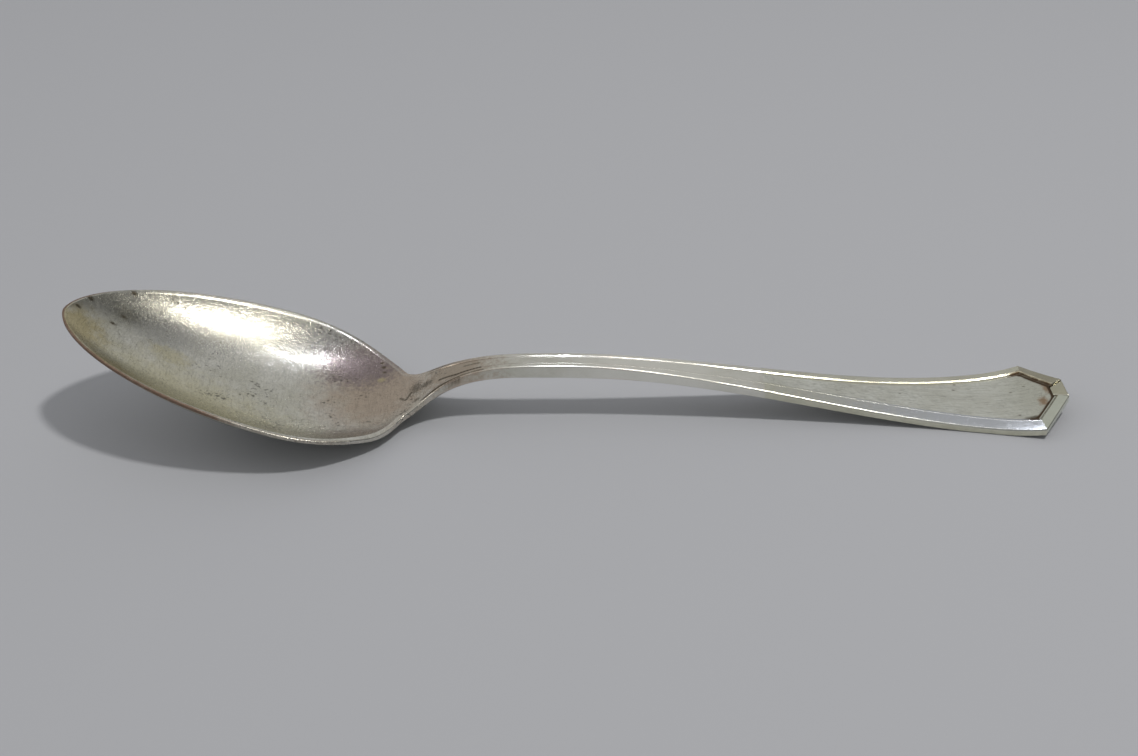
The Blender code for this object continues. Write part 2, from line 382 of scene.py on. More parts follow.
    def edge_depth(self, x: float) -> float:
        """Height of the upright outer wall under the upper edge.

        Args:
            x: The place along the spoon.

        Returns:
            The wall's height.
        """
        if x < self.neck:
            heel = max(share(x, self.widest, self.neck), 0.0)
            return mix(self.rim_depth, self.neck_depth, heel**self.rim_depth_power)
        if x < self.waist:
            return mix(self.stem_depth, self.neck_depth, share(x, self.waist, self.neck) ** 2)
        return mix(self.handle_depth, self.stem_depth, max(share(x, self.dip, self.waist), 0.0) ** 2)

    def belly(self, x: float) -> float:
        """How far the stem's underside swells below the bottom of its outer wall."""
        if x < self.waist:
            return mix(self.stem_belly, self.neck_belly, ease(share(x, self.waist, self.neck)))
        return mix(self.stem_belly, 0.0, ease(share(x, self.waist, self.stem_end)))

    def on_table(self, z: float) -> float:
        """A height with the worn underside cut flat where the spoon rests."""
        return max(z - self.rest_wear, 0.0)

    def underside(self, x: float) -> float:
        """Height of the bottom of the outer wall."""
        return self.on_table(self.edge_height(x) - self.edge_depth(x))

    def border_growth(self, x: float) -> float:
        """How far the border has grown from its stem size to its handle size."""
        return ease(share(x, self.waist, self.end - self.border_full_from_end))

    def border_across(self, x: float) -> float:
        """Width of the side border, measured across the handle."""
        return mix(self.stem_border_width, self.border_width, self.border_growth(x))

    def ridge_rise(self, x: float) -> float:
        """Height of the border's inner ridge above the outer edge, which fades out at the neck."""
        rise = mix(self.stem_border_rise, self.border_rise, self.border_growth(x))
        return rise * self.ridge_growth(x)

    def ridge_growth(self, x: float) -> float:
        """How far the ridges have grown out of the neck."""
        return ease((x - self.neck) / self.ridge_fade)

    def panel_rise(self, x: float) -> float:
        """Height of the panel's surface above the outer edge."""
        return self.ridge_rise(x) - self.ridge_drop(x)

    def ridge_drop(self, x: float) -> float:
        """Drop from the border's inner ridge to the panel's surface."""
        return mix(self.stem_sink, self.panel_sink, self.border_growth(x)) * self.ridge_growth(x)

    def ridge_line(self, x: float) -> float:
        """Distance of the side border's inner foot from the middle plane."""
        return self.half_width(x) - self.border_across(x)

    def bar_outer_line(self, x: float) -> float:
        """Distance of the slanted end's outer edge from the middle plane."""
        return mix(self.shoulder_half, self.end_half, share(x, self.shoulder, self.end))

    def bar_inner_line(self, x: float) -> float:
        """Distance of the end bar's inner edge from the middle plane."""
        run = (self.shoulder_half - self.end_half) / self.shoulder_from_end
        return self.bar_outer_line(x) - self.bar_width * math.hypot(1.0, run)

    def key_line(self, x: float) -> float:
        """Distance of the keystone's side from the middle plane."""
        return mix(self.key_inner_half, self.end_half, share(x, self.key_start, self.end))

    def crossing(
        self,
        first: Callable[[float], float],
        second: Callable[[float], float],
        low: float,
    ) -> float:
        """Finds where two lines meet, by halving.

        Args:
            first: The line that is the lower one at low.
            second: The line that is the lower one at the handle's end.
            low: A place before the crossing.

        Returns:
            The place along X where the lines meet.
        """
        high = self.end
        for _ in range(HALVINGS):
            middle = (low + high) / 2
            if first(middle) < second(middle):
                low = middle
            else:
                high = middle
        return low

    @cached_property
    def mitre(self) -> float:
        """Place of the panel's shoulder corner."""
        return self.crossing(self.ridge_line, self.bar_inner_line, self.shoulder - self.bar_width)

    @cached_property
    def key_corner(self) -> float:
        """Place where an end bar's inner edge meets the keystone."""
        return self.crossing(self.key_line, self.bar_inner_line, self.mitre)


@dataclass(frozen=True)
class BorderProfile:
    """The raised border in section: a low ledge, a hollow flank, a ridge, a sloping band, a bevel.

    Widths are those of the full border. All but the bevel's shrink with it on the stem.
    """

    ledge_edge: float = 0.00010
    ledge_rise: float = 0.00005
    ledge_wear: float = 0.3
    flank_foot: float = 0.00044
    flank: float = 0.00050
    flank_bend: float = 0.09
    ridge_top: float = 0.00012
    step: float = 0.000045
    step_width: float = 0.00007
    soft: float = 0.00010
    stem_bevel: float = 0.00032
    stem_bevel_slope: float = 0.46
    bevel: float = 0.00024
    bevel_slope: float = 0.69
    bevel_turns: Span = (0.024, 0.034)
    edge: float = 0.00010
    edge_wear: float = 0.9
    bottom: float = 0.00040
    bottom_wear: float = 0.4

    def corners(
        self,
        form: SpoonForm,
        inner: Vector,
        outer: Vector,
        rise: float,
        lift: float = 0.0,
        relief: float = 1.0,
        dirt: float = 1.0,
        crust: float = 0.0,
        band_dirt: float = 0.0,
    ) -> list[Corner]:
        """The section's upper side and outer wall, from the ledge to the bottom.

        Args:
            form: The spoon's lines.
            inner: Plan point of the ledge's inner edge.
            outer: Plan point of the outer edge.
            rise: Height of the ridge above the handle's edge line.
            lift: Height of the outer edge above the handle's edge line.
            relief: How sharply the ledge and ridge stand out, from 0 to 1.
            dirt: How much grime lies along the flank's foot, from 0 to 1.
            crust: How much grime lies on the ledge and flank, from 0 to 1.
            band_dirt: How much grime lies on the band, from 0 to 1.

        Returns:
            The corners in order, the last one at the bottom of the outer wall.
        """
        width = (outer - inner).length
        scale = width / form.border_width
        panel = rise - form.ridge_drop(inner.x)
        ledge = panel + self.ledge_rise * scale * relief
        foot = self.flank_foot * scale
        top = foot + self.flank * scale
        ridge_end = top + self.ridge_top * scale
        step_end = ridge_end + self.step_width * scale
        band = rise - self.step * relief * scale
        bend = self.flank_bend * form.border_growth(inner.x)
        turned = ease(share(inner.x, *self.bevel_turns))
        bevel = mix(self.stem_bevel, self.bevel, turned)
        edge = lift - bevel * mix(self.stem_bevel_slope, self.bevel_slope, turned)
        worn = self.edge_wear
        # Across, above the edge line, rounding, wear and grime of each corner
        places = (
            (0.0, panel, 0.0, 0.0, max(dirt / 2, crust)),
            (self.ledge_edge * scale, ledge, self.soft / 2, self.ledge_wear, crust),
            (foot, ledge, self.soft, 0.0, max(dirt, crust)),
            (mix(foot, top, 0.5 + bend), mix(ledge, rise, 0.5 - bend), 0.0, 0.0, crust),
            (top, rise, self.soft, worn * (1 - crust), crust),
            (ridge_end, rise, self.soft / 2, worn, 0.0),
            (step_end, band, self.soft / 2, 0.0, max(dirt * relief / 2, band_dirt)),
            (mix(step_end, width, 0.5), mix(band, lift, 0.5), 0.0, 0.0, band_dirt),
            (width - bevel, lift, self.soft / 2, worn, 0.0),
            (width, edge, self.edge, worn, 0.0),
        )
        found = []
        for across, above, reach, wear, grime in places:
            plan = inner.lerp(outer, across / width)
            at = Vector((plan.x, plan.y, form.edge_height(plan.x) + above))
            found.append(Corner(at, reach, wear, grime))
        base = Vector((outer.x, outer.y, form.underside(outer.x)))
        found.append(Corner(base, self.bottom, self.bottom_wear))
        return found


class Shell:
    """One closed piece of metal, collected ring by ring."""

    def __init__(self) -> None:
        """Starts an empty mesh with its two masks."""
        self.mesh = bmesh.new()
        self.wear = self.mesh.verts.layers.float.new(StainOn.WORN_EDGE.value)
        self.grime = self.mesh.verts.layers.float.new(StainOn.CREVICE.value)
        self.rings: list[list[bmesh.types.BMVert]] = []

    def add_ring(self, spots: Sequence[Spot]) -> None:
        """Adds a closed ring and joins it to the one before.

        Args:
            spots: The ring's points. Points at one place share a vertex.
        """
        made: dict[tuple[float, ...], bmesh.types.BMVert] = {}
        ring = []
        for spot in spots:
            key = tuple(round(c, SAME_DIGITS) for c in spot.at)
            if key not in made:
                made[key] = self.mesh.verts.new(spot.at)
                made[key][self.wear] = spot.wear
                made[key][self.grime] = spot.grime
            ring.append(made[key])
        if self.rings:
            self.join(self.rings[-1], ring)
        self.rings.append(ring)

    def join(self, first: list[bmesh.types.BMVert], second: list[bmesh.types.BMVert]) -> None:
        """Faces between two closed rings with the same count.

        Args:
            first: One ring.
            second: The next ring.
        """
        count = len(first)
        for i in range(count):
            k = (i + 1) % count
            face = list(dict.fromkeys((first[i], first[k], second[k], second[i])))
            if len(face) > 2:
                self.mesh.faces.new(face)

    def cap_ends(self) -> None:
        """Closes both ends with a flat face, but for an end that is folded into the middle plane."""
        for ring in (self.rings[0], self.rings[-1]):
            if any(abs(vertex.co.y) > FLAT for vertex in ring):
                self.mesh.faces.new(list(dict.fromkeys(ring)))

    def to_object(self, name: str) -> bpy.types.Object:
        """Makes the object, shaded smooth but for its real edges.

        Args:
            name: The object's name.

        Returns:
            The object, linked to the scene.
        """
        bmesh.ops.recalc_face_normals(self.mesh, faces=self.mesh.faces)
        data = bpy.data.meshes.new(name)
        self.mesh.to_mesh(data)
        self.mesh.free()
        data.shade_smooth()
        data.set_sharp_from_angle(angle=SHARP)
        for mask, sign in ((StainOn.UPPER_SIDE, 1), (StainOn.UNDERSIDE, -1)):
            layer = data.attributes.new(mask.value, "FLOAT", "POINT")
            for vertex, facing in zip(data.vertices, layer.data):
                facing.value = max(sign * vertex.normal.z, 0.0)
        piece = bpy.data.objects.new(name, data)
        bpy.context.scene.collection.objects.link(piece)
        return piece


class Graph:
    """Short ways to add and join the nodes of one shader tree."""

    def __init__(self, tree: bpy.types.NodeTree) -> None:
        """Works on this tree."""
        self.tree = tree

    def add(self, kind: str, **settings: object) -> bpy.types.Node:
        """Adds a node.

        Args:
            kind: The node's type name after ShaderNode.
            settings: Its properties.

        Returns:
            The node.
        """
        node = self.tree.nodes.new("ShaderNode" + kind)
        for name, value in settings.items():
            setattr(node, name, value)
        return node

    def feed(self, socket: bpy.types.NodeSocket, source: Source) -> None:
        """Links a socket to another one, or sets it to a value.

        Args:
            socket: The input that is fed.
            source: An output, a number, a vector or a colour.
        """
        if isinstance(source, bpy.types.NodeSocket):
            self.tree.links.new(source, socket)
        elif socket.type == "RGBA":
            socket.default_value = (*source, 1.0)
        else:
            socket.default_value = source

    def calculate(self, kind: str, operation: str, values: Sequence[Source]) -> bpy.types.Node:
        """Adds a node that works out one value from others.

        Args:
            kind: The node's type name after ShaderNode.
            operation: Blender's name of the operation.
            values: The values in order.

        Returns:
            The node.
        """
        node = self.add(kind, operation=operation)
        for socket, value in zip(node.inputs, values):
            self.feed(socket, value)
        return node

    def math(self, operation: str, *values: Source) -> bpy.types.NodeSocket:
        """The result of a calculation with numbers."""
        return self.calculate("Math", operation, values).outputs["Value"]

    def times(self, a: Source, b: Source) -> bpy.types.NodeSocket:
        """The product of two numbers."""
        return self.math("MULTIPLY", a, b)

    def plus(self, a: Source, b: Source) -> bpy.types.NodeSocket:
        """One number and another."""
        return self.math("ADD", a, b)

    def minus(self, a: Source, b: Source) -> bpy.types.NodeSocket:
        """One number less another."""
        return self.math("SUBTRACT", a, b)

    def vector(self, operation: str, *values: Source) -> bpy.types.NodeSocket:
        """The vector that a calculation with vectors gives."""
        return self.calculate("VectorMath", operation, values).outputs["Vector"]

    def measure(self, operation: str, *values: Source) -> bpy.types.NodeSocket:
        """The number that a calculation with vectors gives."""
        return self.calculate("VectorMath", operation, values).outputs["Value"]

    def noise(
        self, vector: Source, scale: Source, detail: float, rough: float = 0.55
    ) -> bpy.types.NodeSocket:
        """A noise value about its middle, one half.

        Args:
            vector: Where it is read.
            scale: Its waves per metre.
            detail: How many finer layers it has.
            rough: How strong these layers are.

        Returns:
            The value's socket.
        """
        node = self.add("TexNoise")
        inputs = {"Vector": vector, "Scale": scale, "Detail": detail, "Roughness": rough}
        for name, source in inputs.items():
            self.feed(node.inputs[name], source)
        return node.outputs["Fac"]

    def ramp(self, value: Source, start: Source, end: Source) -> bpy.types.NodeSocket:
        """A smooth step of a value, 0 at start and 1 at end.

        Args:
            value: The value.
            start: Where the step begins.
            end: Where it is done.

        Returns:
            The step's socket.
        """
        node = self.add("MapRange", interpolation_type="SMOOTHSTEP")
        for name, source in {"Value": value, "From Min": start, "From Max": end}.items():
            self.feed(node.inputs[name], source)
        return node.outputs["Result"]

    def blend(self, factor: Source, a: Source, b: Source) -> bpy.types.NodeSocket:
        """One colour over another.

        Args:
            factor: How much of the second shows.
            a: The first colour.
            b: The second colour.

        Returns:
            The colour's socket.
        """
        node = self.add("Mix", data_type="RGBA")
        self.feed(node.inputs[MIX_FACTOR], factor)
        self.feed(node.inputs[MIX_FIRST], a)
        self.feed(node.inputs[MIX_SECOND], b)
        return node.outputs[MIX_RESULT]

    def place(self, group: bpy.types.NodeTree, **inputs: Source) -> bpy.types.NodeSocket:
        """Places a node group.

        Args:
            group: The group's tree.
            inputs: Its inputs by name.

        Returns:
            The socket of its mask.
        """
        node = self.add("Group", node_tree=group)
        for name, source in inputs.items():
            self.feed(node.inputs[name], source)
        return node.outputs["Mask"]


class EffectGroups:
    """The surface effects that the finishes share, each a node group with a mask."""

    stain_rim: float = 1.1
    stain_core: float = 0.25
    speck_level: float = 0.80
    speck_edge: float = 0.10
    cluster_scale: float = 0.09
    cluster_pull: float = 0.7

    def __init__(self) -> None:
        """Builds each group once."""
        self.clouds = self.make_clouds()
        self.stain = self.make_stain()
        self.specks = self.make_specks()
        self.hairlines = self.make_hairlines()

    def start(
        self, name: str, **inputs: str
    ) -> tuple[Graph, dict[str, bpy.types.NodeSocket], bpy.types.NodeSocket]:
        """Opens a group with a Vector input and a Mask output.

        Args:
            name: The group's name.
            inputs: Its other inputs, each with its kind of socket.

        Returns:
            Its graph, its inputs by name and the socket for its mask.
        """
        tree = bpy.data.node_groups.new(name, "ShaderNodeTree")
        for label, kind in {"Vector": "Vector", **inputs}.items():
            tree.interface.new_socket(label, in_out="INPUT", socket_type="NodeSocket" + kind)
        tree.interface.new_socket("Mask", in_out="OUTPUT", socket_type="NodeSocketFloat")
        given = tree.nodes.new("NodeGroupInput").outputs
        out = tree.nodes.new("NodeGroupOutput")
        return Graph(tree), {label: given[label] for label in ("Vector", *inputs)}, out.inputs["Mask"]

    def make_clouds(self) -> bpy.types.NodeTree:
        """Soft cloudy patches of dull plate.

        Returns:
            The group's tree.
        """
        graph, given, mask = self.start("plate_clouds", Scale="Float", Contrast="Float")
        value = graph.noise(given["Vector"], given["Scale"], detail=5.0, rough=0.62)
        spread = graph.math("DIVIDE", NOISE_MIDDLE, given["Contrast"])
        low = graph.minus(NOISE_MIDDLE, spread)
        high = graph.plus(NOISE_MIDDLE, spread)
        graph.feed(mask, graph.ramp(value, low, high))
        return graph.tree

    def make_stain(self) -> bpy.types.NodeTree:
        """One stain with a ragged outline round a centre.

        Returns:
            The group's tree.
        """
        graph, given, mask = self.start(
            "tarnish_stain", Centre="Vector", Reach="Vector", Ragged="Float", Grain="Float"
        )
        offset = graph.vector("SUBTRACT", given["Vector"], given["Centre"])
        length = graph.measure("LENGTH", graph.vector("DIVIDE", offset, given["Reach"]))
        grain = graph.noise(given["Vector"], given["Grain"], detail=6.0, rough=0.65)
        shift = graph.times(graph.minus(grain, NOISE_MIDDLE), given["Ragged"])
        graph.feed(mask, graph.ramp(graph.plus(length, shift), self.stain_rim, self.stain_core))
        return graph.tree

    def make_specks(self) -> bpy.types.NodeTree:
        """Small dark specks that come in clusters.

        Returns:
            The group's tree.
        """
        graph, given, mask = self.start("dark_specks", Scale="Float", Amount="Float")
        fine = graph.noise(given["Vector"], given["Scale"], detail=3.0, rough=0.6)
        wide = graph.times(given["Scale"], self.cluster_scale)
        cluster = graph.noise(given["Vector"], wide, detail=2.0)
        pull = graph.times(graph.minus(cluster, NOISE_MIDDLE), self.cluster_pull)
        start = graph.minus(self.speck_level, given["Amount"])
        end = graph.plus(start, self.speck_edge)
        graph.feed(mask, graph.ramp(graph.plus(fine, pull), start, end))
        return graph.tree

    def make_hairlines(self) -> bpy.types.NodeTree:
        """Fine scratches that run one way.

        Returns:
            The group's tree.
        """
        graph, given, mask = self.start("hairlines", Stretch="Vector", Turn="Float", Width="Float")
        turn = graph.add("VectorRotate", rotation_type="Z_AXIS")
        graph.feed(turn.inputs["Vector"], given["Vector"])
        graph.feed(turn.inputs["Angle"], given["Turn"])
        drawn = graph.vector("MULTIPLY", turn.outputs["Vector"], given["Stretch"])
        value = graph.noise(drawn, 1.0, detail=3.0, rough=0.6)
        ridge = graph.math("ABSOLUTE", graph.minus(value, NOISE_MIDDLE))
        graph.feed(mask, graph.ramp(ridge, given["Width"], 0.0))
        return graph.tree


@dataclass(frozen=True)
class Stain:
    """A patch of tarnish: its place and reach on the spoon, its colour, strength and dullness."""

    centre: Place
    reach: Place
    colour: Colour
    strength: float
    roughness: float = 0.05
    ragged: float = 1.2
    grain: float = 260.0
    on: StainOn = StainOn.SURFACE


@dataclass(frozen=True)
class Hairlines:
    """A set of fine scratches: waves per metre along and across, direction, width and depth."""

    along: float
    across: float
    turn: float
    width: float
    depth: float
    shade: float = 0.0


@dataclass(frozen=True)
class PlateFinish:
    """Worn silver plate, with the stains that lie on one piece."""

    name: str
    silver: Colour = (0.80, 0.79, 0.72)
    dull: Colour = (0.66, 0.65, 0.56)
    bright: Colour = (0.93, 0.91, 0.83)
    dirt: Colour = (0.09, 0.06, 0.035)
    speck: Colour = (0.07, 0.065, 0.05)
    back: Colour = (0.73, 0.72, 0.64)
    roughness: float = 0.14
    cloud_roughness: float = 0.08
    cloud_scale: float = 150.0
    cloud_contrast: float = 2.2
    speck_scale: float = 1500.0
    speck_amount: float = 0.02
    speck_strength: float = 0.75
    mottle_scale: float = 1100.0
    mottle: float = 0.06
    mottle_shade: float = 3.0
    mottle_polish: float = 2.0
    least_mottle: float = 0.4
    pit_scale: float = 1300.0
    pit_depth: float = 0.000001
    crumb_scale: float = 900.0
    crumb_spread: float = 1.6
    crumb_least: float = 0.2
    dirt_range: Span = (0.1, 0.7)
    dirt_roughness: float = 0.25
    rub: float = 0.45
    rub_polish: float = 0.12
    scratch_roughness: float = 0.05
    back_range: Span = (0.35, 0.75)
    grain_end: float = 1.0
    grain_fade: float = 0.009
    hairlines: tuple[Hairlines, ...] = (
        Hairlines(30.0, 2600.0, 0.05, 0.016, 0.0000002),
        Hairlines(60.0, 2200.0, 1.25, 0.012, 0.0000002),
    )
    stains: tuple[Stain, ...] = ()

    def material(self, effects: EffectGroups) -> bpy.types.Material:
        """Builds the finish.

        Args:
            effects: The shared effect groups.

        Returns:
            The material.
        """
        made = bpy.data.materials.new(self.name)
        made.use_nodes = True
        PlateSurface(self, effects, made.node_tree).build()
        return made


class PlateSurface:
    """The colour, roughness and height of a plate finish, laid on one effect after another."""

    def __init__(self, finish: PlateFinish, effects: EffectGroups, tree: bpy.types.NodeTree) -> None:
        """Starts with cloudy, pitted plate.

        Args:
            finish: The finish.
            effects: The shared effect groups.
            tree: The material's node tree.
        """
        self.finish = finish
        self.effects = effects
        self.graph = graph = Graph(tree)
        self.where = graph.add("TexCoord").outputs["Object"]
        self.masks = {
            kind: graph.add("Attribute", attribute_name=kind.value).outputs["Fac"]
            for kind in StainOn
            if kind is not StainOn.SURFACE
        }
        along = graph.add("SeparateXYZ")
        graph.feed(along.inputs["Vector"], self.where)
        fade_start = finish.grain_end - finish.grain_fade
        self.grained = graph.ramp(along.outputs["X"], finish.grain_end, fade_start)
        clouds = graph.place(
            effects.clouds, Vector=self.where, Scale=finish.cloud_scale, Contrast=finish.cloud_contrast
        )
        self.colour = graph.blend(clouds, finish.silver, finish.dull)
        self.rough = graph.math("MULTIPLY_ADD", clouds, finish.cloud_roughness, finish.roughness)
        pits = graph.noise(self.where, finish.pit_scale, detail=3.0)
        self.height = graph.times(graph.times(pits, finish.pit_depth), self.grained)

    def lay(self, mask: Source, colour: Colour, roughness: float = 0.0) -> None:
        """Lays a colour over what is there, and dulls or polishes it.

        Args:
            mask: How much of the colour shows, from 0 to 1.
            colour: The colour.
            roughness: How much rougher the plate is where the mask is full.
        """
        self.colour = self.graph.blend(mask, self.colour, colour)
        if roughness:
            self.rough = self.graph.plus(self.rough, self.graph.times(mask, roughness))

    def mottle(self) -> None:
        """Breaks up the plate's shade into fine grains."""
        graph, finish = self.graph, self.finish
        noise = graph.noise(self.where, finish.mottle_scale, detail=6.0, rough=0.7)
        strength = graph.math("MAXIMUM", self.grained, finish.least_mottle)
        grains = graph.times(graph.minus(noise, NOISE_MIDDLE), strength)
        shade = graph.math("MULTIPLY_ADD", grains, finish.mottle * finish.mottle_shade, 1.0)
        self.colour = graph.vector("MULTIPLY", self.colour, shade)
        polish = graph.times(grains, finish.mottle * finish.mottle_polish)
        self.rough = graph.minus(self.rough, polish)

    def stain(self) -> None:
        """Lays on the stains in their order."""
        for stain in self.finish.stains:
            mask = self.graph.place(
                self.effects.stain,
                Vector=self.where,
                Centre=stain.centre,
                Reach=stain.reach,
                Ragged=stain.ragged,
                Grain=stain.grain,
            )
            if stain.on is not StainOn.SURFACE:
                mask = self.graph.times(mask, self.masks[stain.on])
            self.lay(self.graph.times(mask, stain.strength), stain.colour, stain.roughness)

    def speckle(self) -> None:
        """Sprinkles dark specks over the grained part."""
        graph, finish = self.graph, self.finish
        specks = graph.place(
            self.effects.specks, Vector=self.where, Scale=finish.speck_scale, Amount=finish.speck_amount
        )
        specks = graph.times(specks, self.grained)
        self.lay(graph.times(specks, finish.speck_strength), finish.speck)

    def soil(self) -> None:
        """Packs crumbs of dirt into the crevices."""
        graph, finish = self.graph, self.finish
        noise = graph.noise(self.where, finish.crumb_scale, detail=4.0, rough=0.7)
        crumbs = graph.math("MULTIPLY_ADD", noise, finish.crumb_spread, finish.crumb_least)
        packed = graph.times(self.masks[StainOn.CREVICE], crumbs)
        self.lay(graph.ramp(packed, *finish.dirt_range), finish.dirt, finish.dirt_roughness)

    def rub(self) -> None:
        """Rubs the raised edges bright."""
        rubbed = self.graph.times(self.masks[StainOn.WORN_EDGE], self.finish.rub)
        self.lay(rubbed, self.finish.bright, -self.finish.rub_polish)

    def scratch(self) -> None:
        """Draws the sets of hairlines over the grained part."""
        graph, finish = self.graph, self.finish
        for lines in finish.hairlines:
            mask = graph.place(
                self.effects.hairlines,
                Vector=self.where,
                Stretch=(lines.along, lines.across, lines.across),
                Turn=lines.turn,
                Width=lines.width,
            )
            mask = graph.times(mask, self.grained)
            self.height = graph.minus(self.height, graph.times(mask, lines.depth))
            self.rough = graph.plus(self.rough, graph.times(mask, finish.scratch_roughness))
            self.lay(graph.times(mask, lines.shade), finish.speck)

    def cover_back(self) -> None:
        """Leaves the underside plain."""
        plain = self.graph.ramp(self.masks[StainOn.UNDERSIDE], *self.finish.back_range)
        self.lay(plain, self.finish.back)

    def build(self) -> None:
        """Lays on every effect and feeds the shader."""
        self.mottle()
        self.stain()
        self.speckle()
        self.soil()
        self.rub()
        self.scratch()
        self.cover_back()
        bump = self.graph.add("Bump")
        self.graph.feed(bump.inputs["Distance"], 1.0)
        self.graph.feed(bump.inputs["Height"], self.height)
        shader = self.graph.tree.nodes["Principled BSDF"].inputs
        self.graph.feed(shader["Metallic"], 1.0)
        self.graph.feed(shader["Base Color"], self.colour)
        self.graph.feed(shader["Roughness"], self.rough)
        self.graph.feed(shader["Normal"], bump.outputs["Normal"])


# Colours of the tarnish; some also stand for painted shade, a painted sheen and a painted sky tint
BROWN = (0.10, 0.08, 0.05)
SOOT_AND_SHADE = (0.18, 0.17, 0.13)
PLUM_AND_SHADE = (0.27, 0.22, 0.22)
# copper on the bowl's lip: partly bare metal, partly painted shade
COPPER_AND_SHADE = (0.27, 0.185, 0.135)
RUST = (0.36, 0.23, 0.13)
UMBER = (0.42, 0.33, 0.24)
TAN = (0.55, 0.45, 0.355)
ROSE = (0.82, 0.54, 0.42)
PALE_ROSE = (0.96, 0.68, 0.60)
DARK_OLIVE = (0.44, 0.36, 0.17)
OLIVE = (0.50, 0.42, 0.20)
MUSTARD = (0.66, 0.60, 0.36)
GOLD = (0.70, 0.62, 0.32)
STRAW = (0.70, 0.66, 0.46)
LEAD_AND_SHADE = (0.40, 0.40, 0.36)
SHADE_SLATE = (0.42, 0.41, 0.40)
ASH_AND_SHADE = (0.50, 0.50, 0.48)
STONE = (0.62, 0.62, 0.52)
BLUISH = (0.60, 0.63, 0.68)
SHEEN_CREAM = (0.98, 0.97, 0.89)

STREAK_OVERLAP = 0.8  # length of a streak's stains by their spacing
STREAK_HEIGHT = 0.002  # reach of a streak up and down
FLECK_SHAPE = 0.6  # width of a fleck by its length


def streak(
    start: Place, end: Place, width: float, strength: float, count: int = 4
) -> tuple[Stain, ...]:
    """A dark line of small stains.

    Args:
        start: One end of the line.
        end: Its other end.
        width: Half its width.
        strength: How dark it is.
        count: How many stains it is made of.

    Returns:
        The stains.
    """
    first, last = Vector(start), Vector(end)
    reach = (STREAK_OVERLAP * (last - first).length / count, width, STREAK_HEIGHT)
    places = [first.lerp(last, (i + 0.5) / count) for i in range(count)]
    return tuple(
        Stain(tuple(place), reach, BROWN, strength, roughness=0.08, ragged=0.6, grain=2000.0)
        for place in places
    )


def flecks(
    places: Sequence[tuple[float, float, float, float]], strength: float, height: float = 0.0
) -> tuple[Stain, ...]:
    """Small brown flecks, longer than they are wide.

    Args:
        places: The centre and the size of each.
        strength: How dark they are.
        height: How far up and down they reach at least.

    Returns:
        The stains.
    """
    return tuple(
        Stain(
            (x, y, z),
            (size, size * FLECK_SHAPE, max(size, height)),
            BROWN,
            strength,
            roughness=0.1,
            ragged=1.4,
            grain=2400.0,
        )
        for x, y, z, size in places
    )


# Centre and size of each fleck
BOWL_FLECKS = (
    (-0.0950, 0.0071, 0.0196, 0.0011),
    (-0.0967, 0.0040, 0.0196, 0.0010),
    (-0.1012, 0.0066, 0.0243, 0.0012),
    (-0.1027, 0.0030, 0.0246, 0.0009),
    (-0.0682, 0.0114, 0.0069, 0.0006),
    (-0.0598, 0.0158, 0.0066, 0.0009),
    (-0.0419, 0.0119, 0.0031, 0.0008),
    (-0.0424, 0.0131, 0.0034, 0.0006),
    (-0.0416, 0.0104, 0.0027, 0.0006),
    (-0.0621, 0.0201, 0.0098, 0.0010),
    (-0.0940, 0.0129, 0.0217, 0.0012),
    (-0.0344, -0.0025, 0.0042, 0.0007),
)
PANEL_FLECKS = (
    (0.0940, -0.0063, 0.0022, 0.0005),
    (0.0973, 0.0037, 0.0028, 0.0004),
    (0.0942, 0.0021, 0.0023, 0.0004),
    (0.0821, 0.0035, 0.0020, 0.0005),
    (0.0827, 0.0055, 0.0020, 0.0005),
    (0.0510, 0.0028, 0.0059, 0.0007),
    (0.0406, 0.0018, 0.0077, 0.0005),
    (0.0699, 0.0009, 0.0030, 0.0004),
)
# Centre, reach, colour, strength, roughness, raggedness and grain of each stain, and for a
# streak its two ends, width, strength and count
NECK_STAINS = (
    Stain((-0.042, 0.003, 0.003), (0.019, 0.019, 0.012), TAN, 0.95, 0.05, 0.7, 450.0),
    Stain((-0.026, 0.000, 0.010), (0.014, 0.007, 0.008), UMBER, 0.80, 0.05, 1.4, 900.0),
    Stain((-0.0316, 0.0003, 0.0063), (0.0024, 0.0013, 0.003), BROWN, 0.80, 0.05, 2.6, 2400.0),
    Stain((-0.0334, -0.0037, 0.0052), (0.0010, 0.0009, 0.002), BROWN, 0.70, 0.05, 1.8, 2400.0),
    *streak((-0.0288, -0.0010, 0.0082), (-0.0249, -0.0017, 0.0102), 0.00045, 1.0, 6),
    *streak((-0.0249, -0.0017, 0.0102), (-0.0196, -0.0013, 0.0117), 0.00045, 1.0, 8),
    *streak((-0.0235, 0.0005, 0.0107), (-0.0200, 0.0005, 0.0116), 0.00040, 0.55, 5),
    *streak((-0.0322, -0.0050, 0.0058), (-0.0283, -0.0037, 0.0086), 0.00060, 0.80, 6),
    *streak((-0.0283, -0.0037, 0.0086), (-0.0241, -0.0031, 0.0105), 0.00060, 0.85, 6),
    *streak((-0.0241, -0.0028, 0.0107), (-0.0190, -0.0023, 0.0119), 0.00030, 0.70, 7),
    *streak((-0.0374, -0.0001, 0.0028), (-0.0359, -0.0019, 0.0033), 0.00045, 0.80),
    *streak((-0.0359, -0.0019, 0.0033), (-0.0348, 0.0003, 0.0040), 0.00050, 0.85),
    Stain((-0.0340, 0.0010, 0.0046), (0.0018, 0.0030, 0.003), BROWN, 0.75, 0.05, 3.2, 2400.0),
    Stain((-0.024, 0.0, 0.0110), (0.015, 0.009, 0.009), ROSE, 0.90, on=StainOn.WORN_EDGE),
    Stain((0.010, 0.0, 0.0125), (0.009, 0.007, 0.005), PALE_ROSE, 0.85, on=StainOn.WORN_EDGE),
)
STEM_STAINS = (
    # Painted sheen: lightens the stem's top toward the handle, for the brighter sky it reflects there.
    Stain((0.016, 0.000, 0.012), (0.025, 0.020, 0.020), SHEEN_CREAM, 0.60, 0.0, 0.4, 500.0),
    *NECK_STAINS,
)
